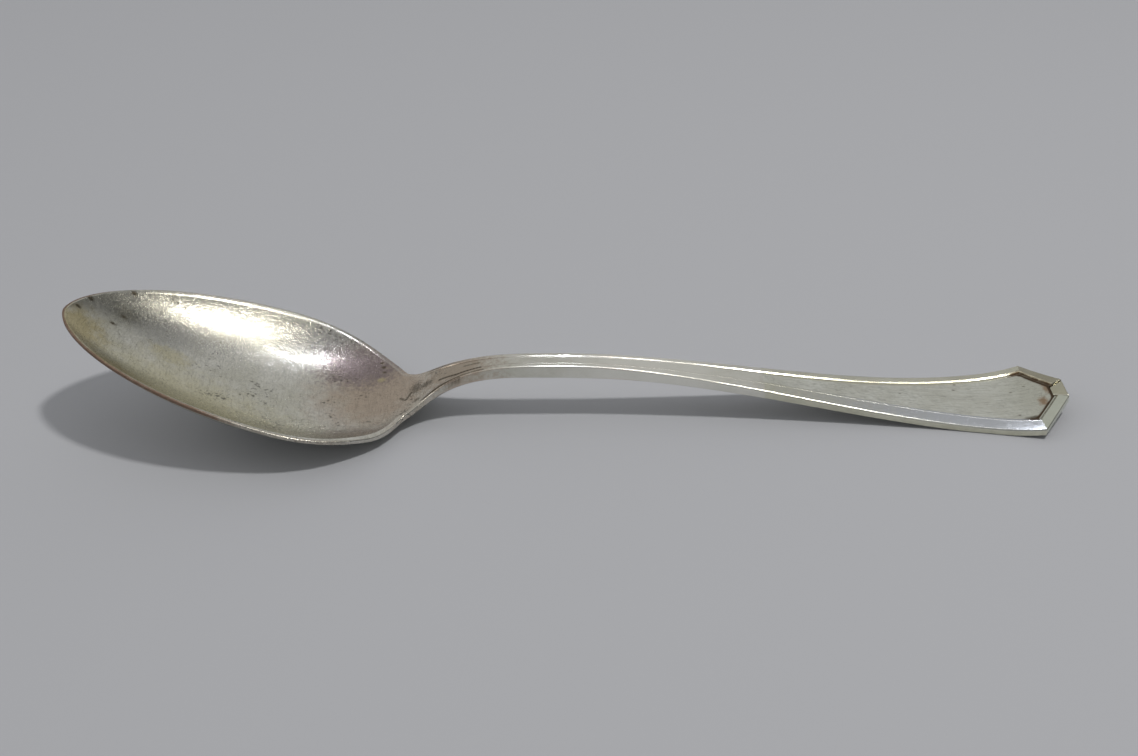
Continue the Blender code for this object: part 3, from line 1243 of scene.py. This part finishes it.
BOWL_STAINS = (
    Stain((-0.082, -0.011, 0.012), (0.040, 0.015, 0.016), STRAW, 0.85, 0.04, 0.8, 400.0),
    Stain((-0.101, -0.003, 0.024), (0.009, 0.009, 0.008), OLIVE, 0.80, 0.06, 1.2, 600.0),
    Stain((-0.093, -0.013, 0.020), (0.015, 0.005, 0.007), DARK_OLIVE, 0.85, 0.06, 1.0, 500.0),
    # Partly tarnish, partly painted shade: these darken the far wall at the nose, which reflects a dark
    # part of the room.
    Stain((-0.095, 0.010, 0.0210), (0.014, 0.006, 0.008), LEAD_AND_SHADE, 0.75, 0.05, 2.2, 1200.0),
    Stain((-0.086, 0.008, 0.0150), (0.011, 0.005, 0.006), ASH_AND_SHADE, 0.55, 0.08, 2.2, 1400.0),
    Stain((-0.0948, 0.0080, 0.0193), (0.0042, 0.0026, 0.003), SOOT_AND_SHADE, 0.50, 0.05, 3.4, 2600.0),
    # Painted shade: darkens the far wall of the heel, where the room it reflects is dim.
    Stain((-0.052, 0.017, 0.0080), (0.013, 0.006, 0.008), SHADE_SLATE, 0.75, 0.0, 2.0, 1300.0),
    Stain((-0.085, 0.003, 0.0125), (0.008, 0.003, 0.004), MUSTARD, 0.55, 0.03, 1.8, 900.0),
    *NECK_STAINS,
    # Partly mauve tarnish, partly painted shade on the far heel.
    Stain((-0.047, 0.012, 0.0036), (0.013, 0.008, 0.009), PLUM_AND_SHADE, 0.95, 0.05, 1.6, 1200.0),
    Stain((-0.0421, 0.0082, 0.0021), (0.0012, 0.0009, 0.001), GOLD, 0.50, 0.0, 0.8, 1500.0),
    *flecks(BOWL_FLECKS, 0.9),
)
PANEL_STAINS = (
    Stain((0.0985, 0.000, 0.0035), (0.009, 0.014, 0.010), STONE, 0.70, 0.04, 1.0, 500.0),
    Stain((0.0998, -0.0027, 0.0033), (0.0013, 0.0022, 0.0015), RUST, 0.85, 0.10, 1.6, 1500.0),
    Stain((0.1015, 0.0021, 0.0038), (0.0012, 0.0040, 0.0015), RUST, 0.80, 0.10, 1.6, 1300.0),
    Stain((0.0966, -0.0077, 0.0026), (0.0026, 0.0008, 0.0015), BROWN, 0.85, 0.10, 1.2, 1500.0),
    Stain((0.0982, 0.0082, 0.0030), (0.0010, 0.0008, 0.0015), BROWN, 0.90, 0.10, 1.0, 1500.0),
    *flecks(PANEL_FLECKS, 0.75, height=0.001),
)
# Painted reflection: a bluish sky tint laid on the upward faces of the near border's band.
BAND_SKY_TINT = Stain(
    (0.100, 0.0, 0.0), (0.068, 0.2, 0.2), BLUISH, 0.9, 0.03, 0.5, 900.0, on=StainOn.UPPER_SIDE
)

BOWL_FINISH = PlateFinish(
    "bowl_plate",
    # The lip's copper stands partly for bare metal and partly for painted shade.
    dirt=COPPER_AND_SHADE,
    speck_amount=0.15,
    mottle=0.20,
    mottle_scale=1500.0,
    pit_scale=2600.0,
    pit_depth=0.000005,
    hairlines=(
        Hairlines(230.0, 1400.0, 1.50, 0.045, 0.000005, 0.22),
        Hairlines(130.0, 1500.0, 0.10, 0.030, 0.000004, 0.14),
        Hairlines(120.0, 1100.0, 0.75, 0.010, 0.000002, 0.25),
    ),
    stains=BOWL_STAINS,
)
STEM_FINISH = replace(
    BOWL_FINISH, name="stem_plate", dirt=PlateFinish.dirt, stains=STEM_STAINS, grain_end=-0.021
)
PANEL_FINISH_AND_SHEEN = PlateFinish(
    "panel_plate_and_sheen",
    # The panel's silver is a lighter copy of the plate: painted sheen for the brighter sky it reflects.
    silver=(0.87, 0.88, 0.80),
    dull=(0.75, 0.75, 0.66),
    mottle=0.08,
    hairlines=(
        Hairlines(70.0, 1300.0, 0.0, 0.035, 0.000003, 0.25),
        Hairlines(90.0, 1700.0, 0.06, 0.030, 0.000002, 0.15),
        Hairlines(160.0, 1300.0, 1.2, 0.012, 0.000003, 0.20),
    ),
    stains=PANEL_STAINS,
)
KEYSTONE_FINISH = PlateFinish("keystone_plate", silver=(0.62, 0.60, 0.46), dull=(0.50, 0.48, 0.36))
SIDE_FINISH = PlateFinish(
    "side_plate", silver=(0.74, 0.73, 0.60), dull=(0.62, 0.61, 0.48), mottle=0.16, mottle_scale=900.0
)


@dataclass(frozen=True)
class BorderLooks:
    """How the border looks on one side: the band's painted sky tint, the end bar's plate, darker on the
    far side as painted shade, and its crust.
    """

    sky_tint: tuple[Stain, ...]
    bar_silver: Colour
    bar_dull: Colour
    bar_crust: float


BORDER_LOOKS = {
    Side.LEFT: BorderLooks((BAND_SKY_TINT,), (0.74, 0.77, 0.66), (0.64, 0.66, 0.55), 0.25),
    # The far bar's plate is a darker copy of the near one: painted shade for the dim side it reflects.
    Side.RIGHT: BorderLooks((), (0.50, 0.48, 0.37), (0.40, 0.37, 0.27), 0.55),
}


@dataclass
class SpoonPiece:
    """A closed piece of the spoon that stands for one solid of the frame."""

    form: SpoonForm
    finish: PlateFinish
    node: str = ""

    def rings(self) -> list[list[Spot]]:
        """The rings that the piece is lofted through."""
        raise NotImplementedError

    def build(self, effects: EffectGroups) -> bpy.types.Object:
        """Makes the piece, dresses it and ties it to the frame.

        Args:
            effects: The shared effect groups.

        Returns:
            The piece's object.
        """
        shell = Shell()
        for ring in self.rings():
            shell.add_ring(ring)
        shell.cap_ends()
        piece = shell.to_object("silver_" + self.node)
        piece.data.materials.append(self.finish.material(effects))
        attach(piece, BODY)
        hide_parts(self.node)
        LOG.info("%s: %d faces", piece.name, len(piece.data.polygons))
        return piece


@dataclass
class Bowl(SpoonPiece):
    """The shallow pointed bowl with its rounded rim.

    Spans are measured from the widest place, the far side's span of copper and painted shade
    from the tip, and runs back from the neck.
    """

    node: str = "bowl"
    nose_rows: int = 90
    heel_rows: int = 84
    columns: int = 32
    nose_rim: float = 0.00072
    heel_rim: float = 0.00105
    rim_thickens: Span = (-0.018, 0.016)
    rim_round: float = 0.00034
    neck_edge: float = 0.00055
    neck_foot: float = 0.00040
    neck_run: float = 0.008
    rubbed_span: Span = (-0.014, -0.004)
    lip_wear: float = 0.6
    foot_wear: float = 0.4
    # Copper laid on the lip stands partly for bare metal and partly for painted shade.
    nose_bare_and_shade: float = 0.70
    heel_bare_and_shade: float = 0.35
    bare_run: float = 0.016
    far_bare_and_shade: Span = (0.002, 0.012)

    def rim_width(self, x: float) -> float:
        """Width of the rim, which is thicker round the heel."""
        thickened = ease(share(x - self.form.widest, *self.rim_thickens))
        return mix(self.nose_rim, self.heel_rim, thickened)

    def stations(self, tip: float) -> list[float]:
        """Places along the bowl, closer together at the tip and in the neck's curve.

        Args:
            tip: Where the first one lies.

        Returns:
            The places from the tip to the neck.
        """
        widest, neck, quarter = self.form.widest, self.form.neck, math.pi / 2
        nose = [mix(widest, tip, math.cos(a)) for a in steps(0, quarter, self.nose_rows)]
        heel = [mix(widest, neck, math.sin(a)) for a in steps(0, quarter, self.heel_rows)]
        return nose + heel[1:]

    def axis_height(self, x: float, low: float, tip: float, neck: float, slope: float) -> float:
        """Height on the middle line: a rising nose, and a heel that joins the stem.

        Args:
            x: The place along the bowl.
            low: The least height.
            tip: The height at the bowl's tip.
            neck: The height at the neck.
            slope: The rise per unit length at the neck.

        Returns:
            The height above the table.
        """
        form = self.form
        if x < form.lowest:
            return mix(low, tip, share(x, form.lowest, form.tip) ** form.nose_rise_power)
        t = share(x, form.lowest, form.neck)
        return mix(low, neck, ease(t)) + slope * (form.neck - form.lowest) * (t - 1) * t * t

    def hollow(self, x: float, across: float) -> Vector:
        """A point on the hollow side.

        Args:
            x: The place along the bowl.
            across: From 0 on the middle line to 1 at the rim.

        Returns:
            The point.
        """
        form = self.form
        start = form.tip + self.nose_rim
        reach = share(start, form.lowest, form.tip) ** form.nose_rise_power
        tip = mix(form.bowl_wall, form.edge_height(start), 1 / reach)
        neck = form.edge_height(form.neck)
        centre = self.axis_height(x, form.bowl_wall, tip, neck, form.neck_slope())
        height = mix(centre, form.edge_height(x), across**form.bowl_section_power)
        return Vector((x, form.bowl_half_width(x, self.rim_width(x)) * across, height))

    def back(self, x: float, across: float) -> Vector:
        """A point on the underside.

        Args:
            x: The place along the bowl.
            across: From 0 on the middle line to 1 at the outer edge.

        Returns:
            The point.
        """
        form = self.form
        side = form.edge_height(x) - form.edge_depth(x)
        tip = form.edge_height(form.tip) - form.rim_depth
        neck = form.edge_height(form.neck) - form.neck_depth - form.neck_belly
        centre = self.axis_height(x, 0.0, tip, neck, form.back_slope())
        height = form.on_table(mix(centre, side, across**form.bowl_section_power))
        return Vector((x, form.bowl_half_width(x) * across, height))

    def lip(self, inner: Vector, foot: Vector, below: Vector) -> list[Spot]:
        """The rim: copper most round the nose, partly bare metal, partly painted shade; rubbed bright at
        the heel.

        Args:
            inner: The hollow's edge.
            foot: The underside's outer edge.
            below: The next point of the underside.

        Returns:
            The spots from the hollow's edge to the foot.
        """
        form, x = self.form, foot.x
        top = Vector((x, foot.y, form.edge_height(x)))
        near_neck = ease(share(x, form.neck - self.neck_run, form.neck))
        top_reach = mix(self.rim_round, self.neck_edge, near_neck)
        foot_reach = mix(self.rim_round / 2, self.neck_foot, near_neck)
        rubbed = ease(share(x - form.widest, *self.rubbed_span))
        plated = ease(share(x, form.neck - self.bare_run, form.neck))
        bare_and_shade = mix(self.nose_bare_and_shade, self.heel_bare_and_shade, rubbed) * (1 - plated)
        line = rounded((
            Corner(inner, wear=self.lip_wear * rubbed),
            Corner(top, top_reach, wear=rubbed),
            Corner(foot, foot_reach, wear=self.foot_wear * rubbed),
            Corner(below),
        ))
        # The lip's copper is partly bare metal and partly painted shade, darker on the near side.
        return line[:1] + [replace(spot, grime=bare_and_shade) for spot in line[1:-1]]

    def thinned(self, spot: Spot, far: float) -> Spot:
        """The spot, with only this share of its copper and painted shade on the far side."""
        return replace(spot, grime=spot.grime * far) if spot.at.y > 0 else spot

    def rings(self) -> list[list[Spot]]:
        """Rings across the bowl, from its tip to the neck.

        Returns:
            The rings.
        """
        tip = self.form.tip
        across = steps(0.0, 1.0, self.columns)
        found = []
        for inner_x, outer_x in zip(self.stations(tip + self.nose_rim), self.stations(tip)):
            hollow = [Spot(self.hollow(inner_x, a)) for a in across]
            back = [Spot(self.back(outer_x, a)) for a in reversed(across)]
            lip = self.lip(hollow[-1].at, back[0].at, back[1].at)
            ring = mirrored(hollow[:-1] + lip + back[1:])
            far = 1 - ease(share(outer_x - tip, *self.far_bare_and_shade))
            found.append([self.thinned(spot, far) for spot in ring])
        return found


@dataclass
class Stem(SpoonPiece):
    """The arched stem with its two ridges and its bevelled edges. Runs are measured from the neck."""

    node: str = "stem"
    rows: int = 170
    columns: int = 10
    strip: tuple[float, ...] = (0.0, 0.5, 0.8, 0.95)
    dirt_run: float = 0.003
    dirt_thins: float = 0.006
    waist_dirt: float = 0.35
    band_dirt: float = 0.8
    band_run: float = 0.016
    back_round: float = 2.0
    back_run: float = 0.010
    profile: BorderProfile = field(default_factory=BorderProfile)

    def back(self, x: float) -> list[Spot]:
        """The rounded underside, from beside the outer wall to the middle plane.

        Args:
            x: The place along the stem.

        Returns:
            The spots.
        """
        form = self.form
        turned = ease((x - form.neck) / self.back_run)
        section = mix(form.bowl_section_power, self.back_round, turned)
        found = []
        for across in steps(1.0, 0.0, self.columns)[1:]:
            swell = form.belly(x) * (1 - across**section)
            low = form.on_table(form.edge_height(x) - form.edge_depth(x) - swell)
            found.append(Spot(Vector((x, form.half_width(x) * across, low))))
        return found

    def rings(self) -> list[list[Spot]]:
        """Rings across the stem, from the neck to the start of the panel.

        Returns:
            The rings.
        """
        form = self.form
        found = []
        for x in steps(form.neck, form.stem_end, self.rows):
            run = x - form.neck
            grown = ease(run / self.dirt_run)
            thinned = ease(share(run, self.dirt_thins, form.neck_to_waist))
            dirt = mix(1.0, self.waist_dirt, thinned) * grown
            band = self.band_dirt * grown * (1 - ease(run / self.band_run))
            inner = Vector((x, form.ridge_line(x)))
            outer = Vector((x, form.half_width(x)))
            rise, relief = form.ridge_rise(x), form.ridge_growth(x)
            corners = self.profile.corners(
                form, inner, outer, rise, relief=relief, dirt=dirt, band_dirt=band
            )
            top = form.edge_height(x) + form.panel_rise(x)
            strip = [Corner(Vector((x, inner.y * across, top))) for across in self.strip]
            back = self.back(x)
            line = rounded(strip + corners + [Corner(back[0].at)])
            found.append(mirrored(line[:-1] + back))
        return found


@dataclass
class HandlePanel(SpoonPiece):
    """The plain sunk panel, which ends in a point cut off by the keystone."""

    node: str = "handle_panel"
    rows: int = 90
    end_rows: int = 18
    columns: int = 22
    crowding: float = 1.7
    crevice: float = 0.00026
    side_crevice: float = 0.0002
    slant_share: float = 0.6
    plain_side: float = 0.15
    corner_run: float = 0.006

    def grime(self, x: float, y: float) -> float:
        """How much dirt has gathered beside the raised border.

        Args:
            x: The place along the handle.
            y: The distance from the middle plane.

        Returns:
            The grime, from 0 to 1.
        """
        form = self.form
        bar_gap = self.slant_share * (form.bar_inner_line(x) - y)
        end_gap = max(min(bar_gap, form.key_start - x), 0.0)
        side_gap = max(form.ridge_line(x) - y, 0.0)
        corner = mix(self.plain_side, 1.0, ease(share(x, form.mitre - self.corner_run, form.mitre)))
        side = corner * math.exp(-side_gap / self.side_crevice)
        end = math.exp(-max(end_gap - self.crevice, 0.0) / self.crevice)
        return min(end + side, 1.0)

    def rings(self) -> list[list[Spot]]:
        """Rings across the panel, from the stem to the keystone.

        Returns:
            The rings.
        """
        form = self.form
        places = steps(form.stem_end, form.mitre, self.rows)
        places += steps(form.mitre, form.key_start, self.end_rows)[1:]
        found = []
        for x in places:
            half = min(form.ridge_line(x), form.bar_inner_line(x))
            top = form.edge_height(x) + form.panel_rise(x)
            low = form.underside(x)
            upper = []
            for t in steps(0.0, 1.0, self.columns):
                y = half * (1 - (1 - t) ** self.crowding)
                upper.append(Spot(Vector((x, y, top)), grime=self.grime(x, y)))
            under = [Spot(Vector((x, half, low))), Spot(Vector((x, 0.0, low)))]
            found.append(mirrored(upper + under))
        return found


@dataclass
class BorderPiece(SpoonPiece):
    """A raised piece of the border on one side of the handle."""

    side: Side = Side.LEFT
    profile: BorderProfile = field(default_factory=BorderProfile)

    def plan(self, x: float, line: Callable[[float], float]) -> Vector:
        """The plan point of a line of the form on this side."""
        return Vector((x, self.side.value * line(x)))

    def ring(self, corners: list[Corner]) -> list[Spot]:
        """A closed ring over a flat underside.

        Args:
            corners: The section's upper side and outer wall.

        Returns:
            The ring's spots.
        """
        inner = corners[0].at
        floor = Corner(Vector((inner.x, inner.y, self.form.underside(inner.x))))
        return rounded([floor] + corners + [floor])[:-1]


@dataclass
class SideBorder(BorderPiece):
    """The raised border along one side of the panel, mitred at the shoulder."""

    rows: int = 120
    plain_dirt: float = 0.35
    dirt_run: float = 0.008
    corner_crust: float = 0.9
    crust_run: float = 0.004

    def rings(self) -> list[list[Spot]]:
        """Rings across the border, from the stem to the shoulder.

        Returns:
            The rings.
        """
        form = self.form
        inner_places = steps(form.stem_end, form.mitre, self.rows)
        outer_places = steps(form.stem_end, form.shoulder, self.rows)
        found = []
        for inner_x, outer_x in zip(inner_places, outer_places):
            inner = self.plan(inner_x, form.ridge_line)
            outer = self.plan(outer_x, form.half_width)
            rise = form.ridge_rise(inner_x)
            soiled = ease(share(inner_x, form.mitre - self.dirt_run, form.mitre))
            dirt = mix(self.plain_dirt, 1.0, soiled)
            crust = self.corner_crust * ease(share(inner_x, form.mitre - self.crust_run, form.mitre))
            corners = self.profile.corners(form, inner, outer, rise, dirt=dirt, crust=crust)
            found.append(self.ring(corners))
        return found


@dataclass
class EndBorder(BorderPiece):
    """The raised bar along one slant of the end, between the shoulder and the keystone."""

    rows: int = 44
    eased: float = 0.00030
    crust: float = 0.25
    relief_share: float = 1 / 6

    def rings(self) -> list[list[Spot]]:
        """Rings across the bar, from the shoulder to the keystone.

        Returns:
            The rings.
        """
        form = self.form
        inner_start, inner_end = (self.plan(x, form.bar_inner_line) for x in (form.mitre, form.key_corner))
        outer_start, outer_end = (self.plan(x, form.bar_outer_line) for x in (form.shoulder, form.end))
        length = (inner_end - inner_start).length
        found = []
        for t in steps(0.0, 1.0, self.rows):
            inner = inner_start.lerp(inner_end, t)
            outer = outer_start.lerp(outer_end, t)
            drop = eased_edge((1 - t) * length, self.eased)
            rise = mix(form.ridge_rise(form.mitre), form.border_rise, t) - drop
            lift = form.bar_lift * t - drop
            relief = 1 - ease(t / self.relief_share)
            corners = self.profile.corners(form, inner, outer, rise, lift, relief, crust=self.crust)
            found.append(self.ring(corners))
        return found


@dataclass
class Keystone(SpoonPiece):
    """The small wedge between the two end bars."""

    node: str = "tip_keystone"
    rows: int = 36
    eased: float = 0.00034
    edge_wear: float = 0.8
    sink: float = 0.00020

    def rings(self) -> list[list[Spot]]:
        """Rings across the wedge, from the panel to the end.

        Returns:
            The rings.
        """
        form, eased = self.form, self.eased
        found = []
        for x in steps(form.key_start, form.end, self.rows):
            half = form.key_line(x)
            drop = eased_edge(min(x - form.key_start, form.end - x), eased) + self.sink
            rise = mix(form.border_rise, form.bar_lift, share(x, form.key_start, form.end))
            top = form.edge_height(x) - drop + rise
            low = form.underside(x)
            groove = 1 - ease(share(x, form.end - eased, form.end))
            line = (
                Corner(Vector((x, 0.0, top))),
                Corner(Vector((x, half - eased, top)), eased / 2, wear=self.edge_wear),
                Corner(Vector((x, half, top - eased)), grime=groove),
                Corner(Vector((x, half, low))),
                Corner(Vector((x, 0.0, low))),
            )
            found.append(mirrored(rounded(line)))
        return found


class LampUse(Enum):
    """What a lamp lights."""

    EVERYTHING = "everything"
    GLINTS = "glints"
    TABLE = "table"


@dataclass(frozen=True)
class Lamp:
    """A soft lamp over the table: what it lights, its direction, size, strength and colour."""

    name: str
    lights: LampUse
    toward: Place
    size: Span
    power: float
    colour: Colour
    distance: float = 1.1
    turn: float = 0.0

    def build(self, aim: Vector) -> None:
        """Hangs the lamp so that it faces a point.

        Args:
            aim: The point.
        """
        data = bpy.data.lights.new(self.name, "AREA")
        data.shape = "ELLIPSE"
        data.size, data.size_y = self.size
        data.energy = self.power
        data.color = self.colour
        lamp = bpy.data.objects.new(self.name, data)
        away = Vector(self.toward).normalized()
        lamp.location = aim + away * self.distance
        lamp.rotation_mode = "QUATERNION"
        lamp.rotation_quaternion = away.to_track_quat("Z", "Y") @ Quaternion((0, 0, 1), self.turn)
        lamp.visible_camera = False
        lamp.visible_glossy = self.lights is not LampUse.TABLE
        lamp.visible_diffuse = self.lights is not LampUse.GLINTS
        bpy.context.scene.collection.objects.link(lamp)


@dataclass(frozen=True)
class Shade:
    """A dim side of the room: its direction, where it starts and is full, and how deep it is."""

    toward: Place
    start: float
    full: float
    depth: float


# Colours of the lamps and of a dark room
WARM_WHITE = (1.0, 0.98, 0.95)
SIDE_WHITE = (1.0, 0.97, 0.94)
LONG_WHITE = (1.0, 0.97, 0.95)
AMBER_WHITE = (1.0, 0.96, 0.88)
COOL_WHITE = (0.88, 0.90, 1.0)
BLACK = (0.0, 0.0, 0.0)


@dataclass
class Studio:
    """The pale floor, the plain soft light and the camera."""

    floor_colour: Colour = (0.55, 0.562, 0.595)
    floor_roughness: float = 0.8
    floor_gloss: float = 0.2
    floor_size: float = 8.0
    sky: Colour = (0.46, 0.46, 0.46)
    image_width: float = 1138.0
    focal_pixels: float = 1500.0
    sensor_width: float = 36.0
    nearest: float = 0.01
    eye: Place = (-0.0037, -0.2638, 0.1859)
    pitch: float = math.radians(34.0)
    yaw: float = math.radians(0.54)
    lamps: tuple[Lamp, ...] = (
        Lamp("key_lamp", LampUse.TABLE, (0.28, -0.08, 0.956), (0.10, 0.10), 4.2, WARM_WHITE),
        Lamp("warm_lamp", LampUse.GLINTS, (0.45, -0.17, 0.877), (0.10, 0.21), 2.5, AMBER_WHITE, turn=0.43),
        Lamp("cool_lamp", LampUse.GLINTS, (0.02, 0.22, 0.975), (0.07, 0.11), 1.1, COOL_WHITE),
        Lamp("long_lamp", LampUse.GLINTS, (0.22, 0.12, 0.968), (0.34, 0.06), 0.26, LONG_WHITE),
        Lamp("side_lamp", LampUse.EVERYTHING, (-0.80, 0.20, 0.57), (0.40, 0.40), 0.5, SIDE_WHITE, 1.2),
    )
    shades: tuple[Shade, ...] = (
        Shade((1.0, 0.0, 0.0), 0.30, 0.75, 0.70),
        Shade((0.0, -0.94, 0.34), 0.50, 0.85, 0.65),
    )

    def build_floor(self) -> None:
        """Lays the floor."""
        mesh = bpy.data.meshes.new("floor")
        half = self.floor_size / 2
        corners = [(-half, -half, 0), (half, -half, 0), (half, half, 0), (-half, half, 0)]
        mesh.from_pydata(corners, [], [(0, 1, 2, 3)])
        material = bpy.data.materials.new("pale_floor")
        material.use_nodes = True
        graph = Graph(material.node_tree)
        shader = material.node_tree.nodes["Principled BSDF"].inputs
        graph.feed(shader["Base Color"], self.floor_colour)
        graph.feed(shader["Roughness"], self.floor_roughness)
        graph.feed(shader["Specular IOR Level"], self.floor_gloss)
        mesh.materials.append(material)
        floor = bpy.data.objects.new("floor", mesh)
        bpy.context.scene.collection.objects.link(floor)

    def build_light(self) -> None:
        """Hangs the lamps and sets the sky with its dim sides."""
        aim = (CAD_BOX[0] + CAD_BOX[1]) / 2
        for lamp in self.lamps:
            lamp.build(aim)
        world = bpy.data.worlds.new("studio")
        world.use_nodes = True
        graph = Graph(world.node_tree)
        toward = graph.add("TexCoord").outputs["Generated"]
        colour: Source = self.sky
        for shade in self.shades:
            facing = graph.measure("DOT_PRODUCT", toward, shade.toward)
            mask = graph.ramp(facing, shade.start, shade.full)
            colour = graph.blend(graph.times(mask, shade.depth), colour, BLACK)
        graph.feed(world.node_tree.nodes["Background"].inputs["Color"], colour)
        bpy.context.scene.world = world

    def build_camera(self) -> None:
        """Sets the camera at the photograph's angle."""
        data = bpy.data.cameras.new("camera")
        data.sensor_width = self.sensor_width
        data.lens = self.sensor_width * self.focal_pixels / self.image_width
        data.clip_start = self.nearest
        camera = bpy.data.objects.new("camera", data)
        camera.location = self.eye
        camera.rotation_euler = (math.pi / 2 - self.pitch, 0.0, -self.yaw)
        bpy.context.scene.collection.objects.link(camera)
        bpy.context.scene.camera = camera

    def build(self) -> None:
        """Sets up the whole stage."""
        bpy.context.scene.view_settings.view_transform = "Standard"
        self.build_floor()
        self.build_light()
        self.build_camera()


def border_pieces(form: SpoonForm, side: Side) -> list[SpoonPiece]:
    """The two pieces of the border on one side.

    Args:
        form: The spoon's lines.
        side: The side of the handle.

    Returns:
        The side border and the end bar.
    """
    word = side.name.lower()
    looks = BORDER_LOOKS[side]
    band = replace(SIDE_FINISH, name=word + "_side_plate", stains=looks.sky_tint)
    bar = PlateFinish(word + "_end_plate", silver=looks.bar_silver, dull=looks.bar_dull)
    return [
        SideBorder(form, band, "side_border_" + word, side),
        EndBorder(form, bar, "end_border_" + word, side, crust=looks.bar_crust),
    ]


def main() -> None:
    """Builds the spoon and its studio."""
    logging.basicConfig(level=logging.INFO, format="%(name)s %(message)s")
    form = SpoonForm.from_frame()
    effects = EffectGroups()
    pieces: list[SpoonPiece] = [
        Bowl(form, BOWL_FINISH),
        Stem(form, STEM_FINISH),
        HandlePanel(form, PANEL_FINISH_AND_SHEEN),
        Keystone(form, KEYSTONE_FINISH),
    ]
    for side in Side:
        pieces += border_pieces(form, side)
    for piece in pieces:
        piece.build(effects)
    Studio().build()


if __name__ == "__main__":
    main()
